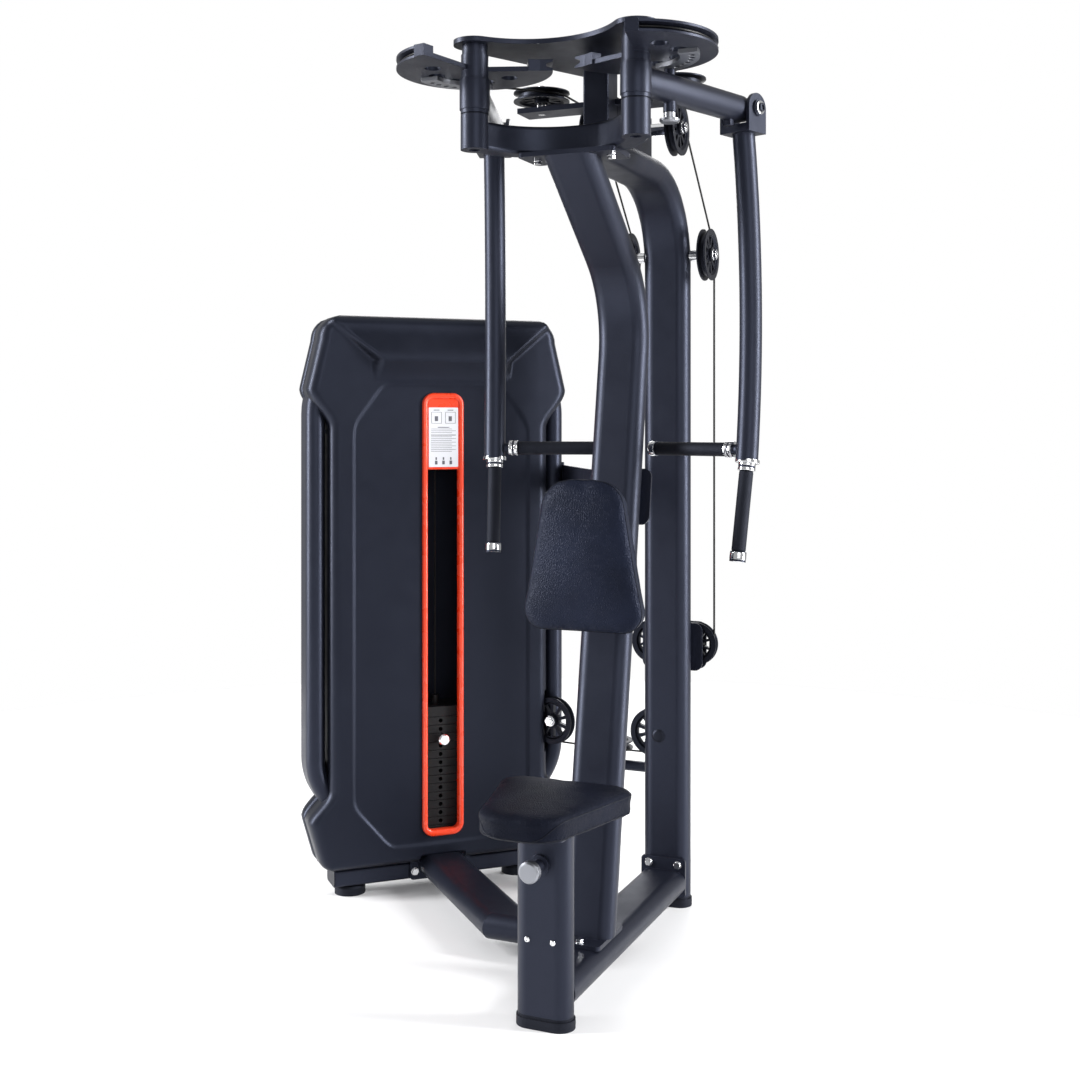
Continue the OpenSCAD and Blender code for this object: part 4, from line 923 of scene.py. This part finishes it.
def make_hinge_bolt(side, bolt, body):
    """The hinge's chrome ring round its dark, dished bolt."""
    lathe(f"{side}_hinge_ring", [(0.0095, 0.0), (0.0150, 0.0), (0.0150, 0.0044),
                                 (0.0095, 0.0050), (0.0095, 0.0)], bolt, "chrome", body,
          edge=0.0008)
    lathe(f"{side}_hinge_bolt", [(0, 0.0), (0.0094, 0.0), (0.0094, 0.0086), (0.0054, 0.0092),
                                 (0.0048, 0.0056), (0, 0.0056)], bolt, "black_plastic", body,
          edge=0.0008)


def make_handles():
    for side in ("right", "left"):
        arm = arm_frame(side)
        body = f"{side}_handle"
        make_low_grip(side, arm @ stem_place(), body)
        make_side_grip(side, arm @ side_place(), body)
        make_hinge_bolt(side, arm @ hinge_place(), body)


# ---------- Small hardware ----------

BAR_END = 0.280
BAR_HALF = 0.040
CLIPS_U = (-0.22, -0.13, 0.0, 0.13, 0.22)
SCREW = [(0, 0.0), (0.0062, 0.0), (0.0062, 0.0018), (0.0048, 0.0034), (0.0026, 0.0038),
         (0.0024, 0.0020), (0, 0.0020)]
PLUG = [(0, 0.0), (0.0165, 0.0), (0.0165, 0.0016), (0.0120, 0.0040), (0, 0.0048)]
NECK = [(0.0240, 0.0001), (0.0283, 0.0001), (0.0283, 0.0026), (0.0240, 0.0026),
        (0.0240, 0.0001)]
SLEEVE = [(0.0295, 0.011), (0.0322, 0.011), (0.0322, 0.074), (0.0295, 0.074), (0.0295, 0.011)]
CLIP = [(0, 0.0), (0.0085, 0.0), (0.0080, 0.0030), (0.0040, 0.0050), (0, 0.0052)]


def facing(x, y, z):
    """A frame at a place of the machine with its axis towards the front."""
    return (Matrix.Translation(MACHINE + Vector((x, y, z)))
            @ Matrix.Rotation(math.pi / 2, 4, "X"))


def make_post_screws():
    for name, x in (("left", -0.028), ("right", 0.028)):
        lathe(f"post_{name}_screw", SCREW, facing(x, -0.0298, 0.180), "chrome", "frame",
              edge=0.0006, around=24)


def make_arm_hubs():
    """The dark neck between each fixed barrel and its arm, and the sleeve on the arm's hub."""
    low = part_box("crown_yoke")[1].z
    for side in ("right", "left"):
        pivot = joint_at(f"{side}_cam_turn")
        place = Matrix.Translation((pivot.x, pivot.y, low))
        lathe(f"{side}_neck", NECK, place, "black_plastic", "frame", edge=0.0003)
        lathe(f"{side}_hub_sleeve", SLEEVE, place, "frame_coat", f"{side}_arm", edge=0.0008)


def make_bar_plugs():
    """Plugs in the open ends of the tower's base bar."""
    low, high = (corner.z for corner in map(Vector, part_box("tower_base_bar")))
    for side, turn in (("right", 90), ("left", -90)):
        place = TOWER @ Matrix.Rotation(math.radians(turn), 4, "Z")
        face_plate(f"{side}_bar_plug", rounded_outline(-BAR_HALF, BAR_HALF, low, high, 0.008),
                   BAR_END - 0.0002, BAR_END + 0.0035, "black_plastic", place=place)


def make_cover_clips():
    for k, u in enumerate(CLIPS_U):
        place = TOWER @ Matrix.Translation((u, -0.012, COVER_HIGH - 0.0022))
        lathe(f"cover_clip_{k}", CLIP, place, "black_plastic", "frame", around=20)


def make_hardware():
    make_post_screws()
    lathe("upright_plug", PLUG, facing(-0.015, 0.7662, 0.430), "black_plastic", "frame",
          around=32)
    make_arm_hubs()
    make_bar_plugs()
    make_cover_clips()


# ---------- Cables ----------

CABLE_R = 0.0026
STRAND_R = 0.0025
# The cable in a cam's groove: its radius, the groove's, and the angles between which it lies
CAM_CABLE_R = 0.0023
CAM_GROOVE_R = 0.1550
CAM_WRAP = (-76, 44)


def cable_run(name, place, fixed, moving, steps, replaced=()):
    """An upright run from its end on the frame to its moving end, laid as a fixed straight tube that belongs to no
    body.
    """
    x, y = place
    path = [(x, y, fixed + (moving - fixed) * i / steps) for i in range(steps + 1)]
    strand = link(name, tube_mesh(name, path, CABLE_R), "cable_jacket", None, replaced)
    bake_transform(strand)


def make_carriage_cable():
    """The cable down to the carriage on both sides, and its loop under the two pulleys."""
    low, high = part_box("carriage_strands")
    right, left = high[0] - STRAND_R, low[0] + STRAND_R
    y = middle("carriage_strands").y
    top = joint_at("right_side_pulley_turn").z
    pulley = middle("right_carriage_pulley")
    cable_run("right_lift_cable", (right, y), top, pulley.z, 60,
              ("carriage_strands",))
    cable_run("left_lift_cable", (left, y), top, pulley.z, 60)
    across = Vector((1, 0, 0))
    radius = right - pulley.x
    under = arc(Vector((pulley.x, y, pulley.z)), across, Z, radius, 0, -90, 10)
    other = 2 * MACHINE.x - pulley.x
    under += arc(Vector((other, y, pulley.z)), across, Z, radius, -90, -180, 10)
    link("carriage_loop_cable", tube_mesh("loop", under, CABLE_R), "cable_jacket", "carriage")


def make_stack_cable():
    """The run that the carriage pulls, and the one that lifts the stack."""
    low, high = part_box("pull_strand")
    place = (low[0] + high[0]) / 2, (low[1] + high[1]) / 2
    cable_run("pull_cable", place, low[2], high[2], 24, ("pull_strand",))
    low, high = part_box("lift_strand")
    place = (low[0] + high[0]) / 2, (low[1] + high[1]) / 2
    cable_run("stack_lift_cable", place, high[2], low[2], 60, ("lift_strand",))


def make_cam_cables():
    """The cable laid in each cam's groove, from its clamp to where it leaves at rest."""
    pivot = joint_at("right_cam_turn")
    for side, flip in (("right", 1), ("left", -1)):
        centre = Vector((MACHINE.x + flip * (pivot.x - MACHINE.x), pivot.y, pivot.z))
        path = arc(centre, Vector((flip, 0, 0)), Vector((0, 1, 0)), CAM_GROOVE_R, *CAM_WRAP, 48)
        link(f"{side}_cam_cable", tube_mesh("cam_cable", path, CAM_CABLE_R), "cable_jacket",
             f"{side}_cam")


make_camera()
make_studio()
make_floor()
coat_cad_nodes()
make_seat()
make_back_pad()
make_tower()
make_handles()
make_hardware()
make_carriage_cable()
make_stack_cable()
make_cam_cables()
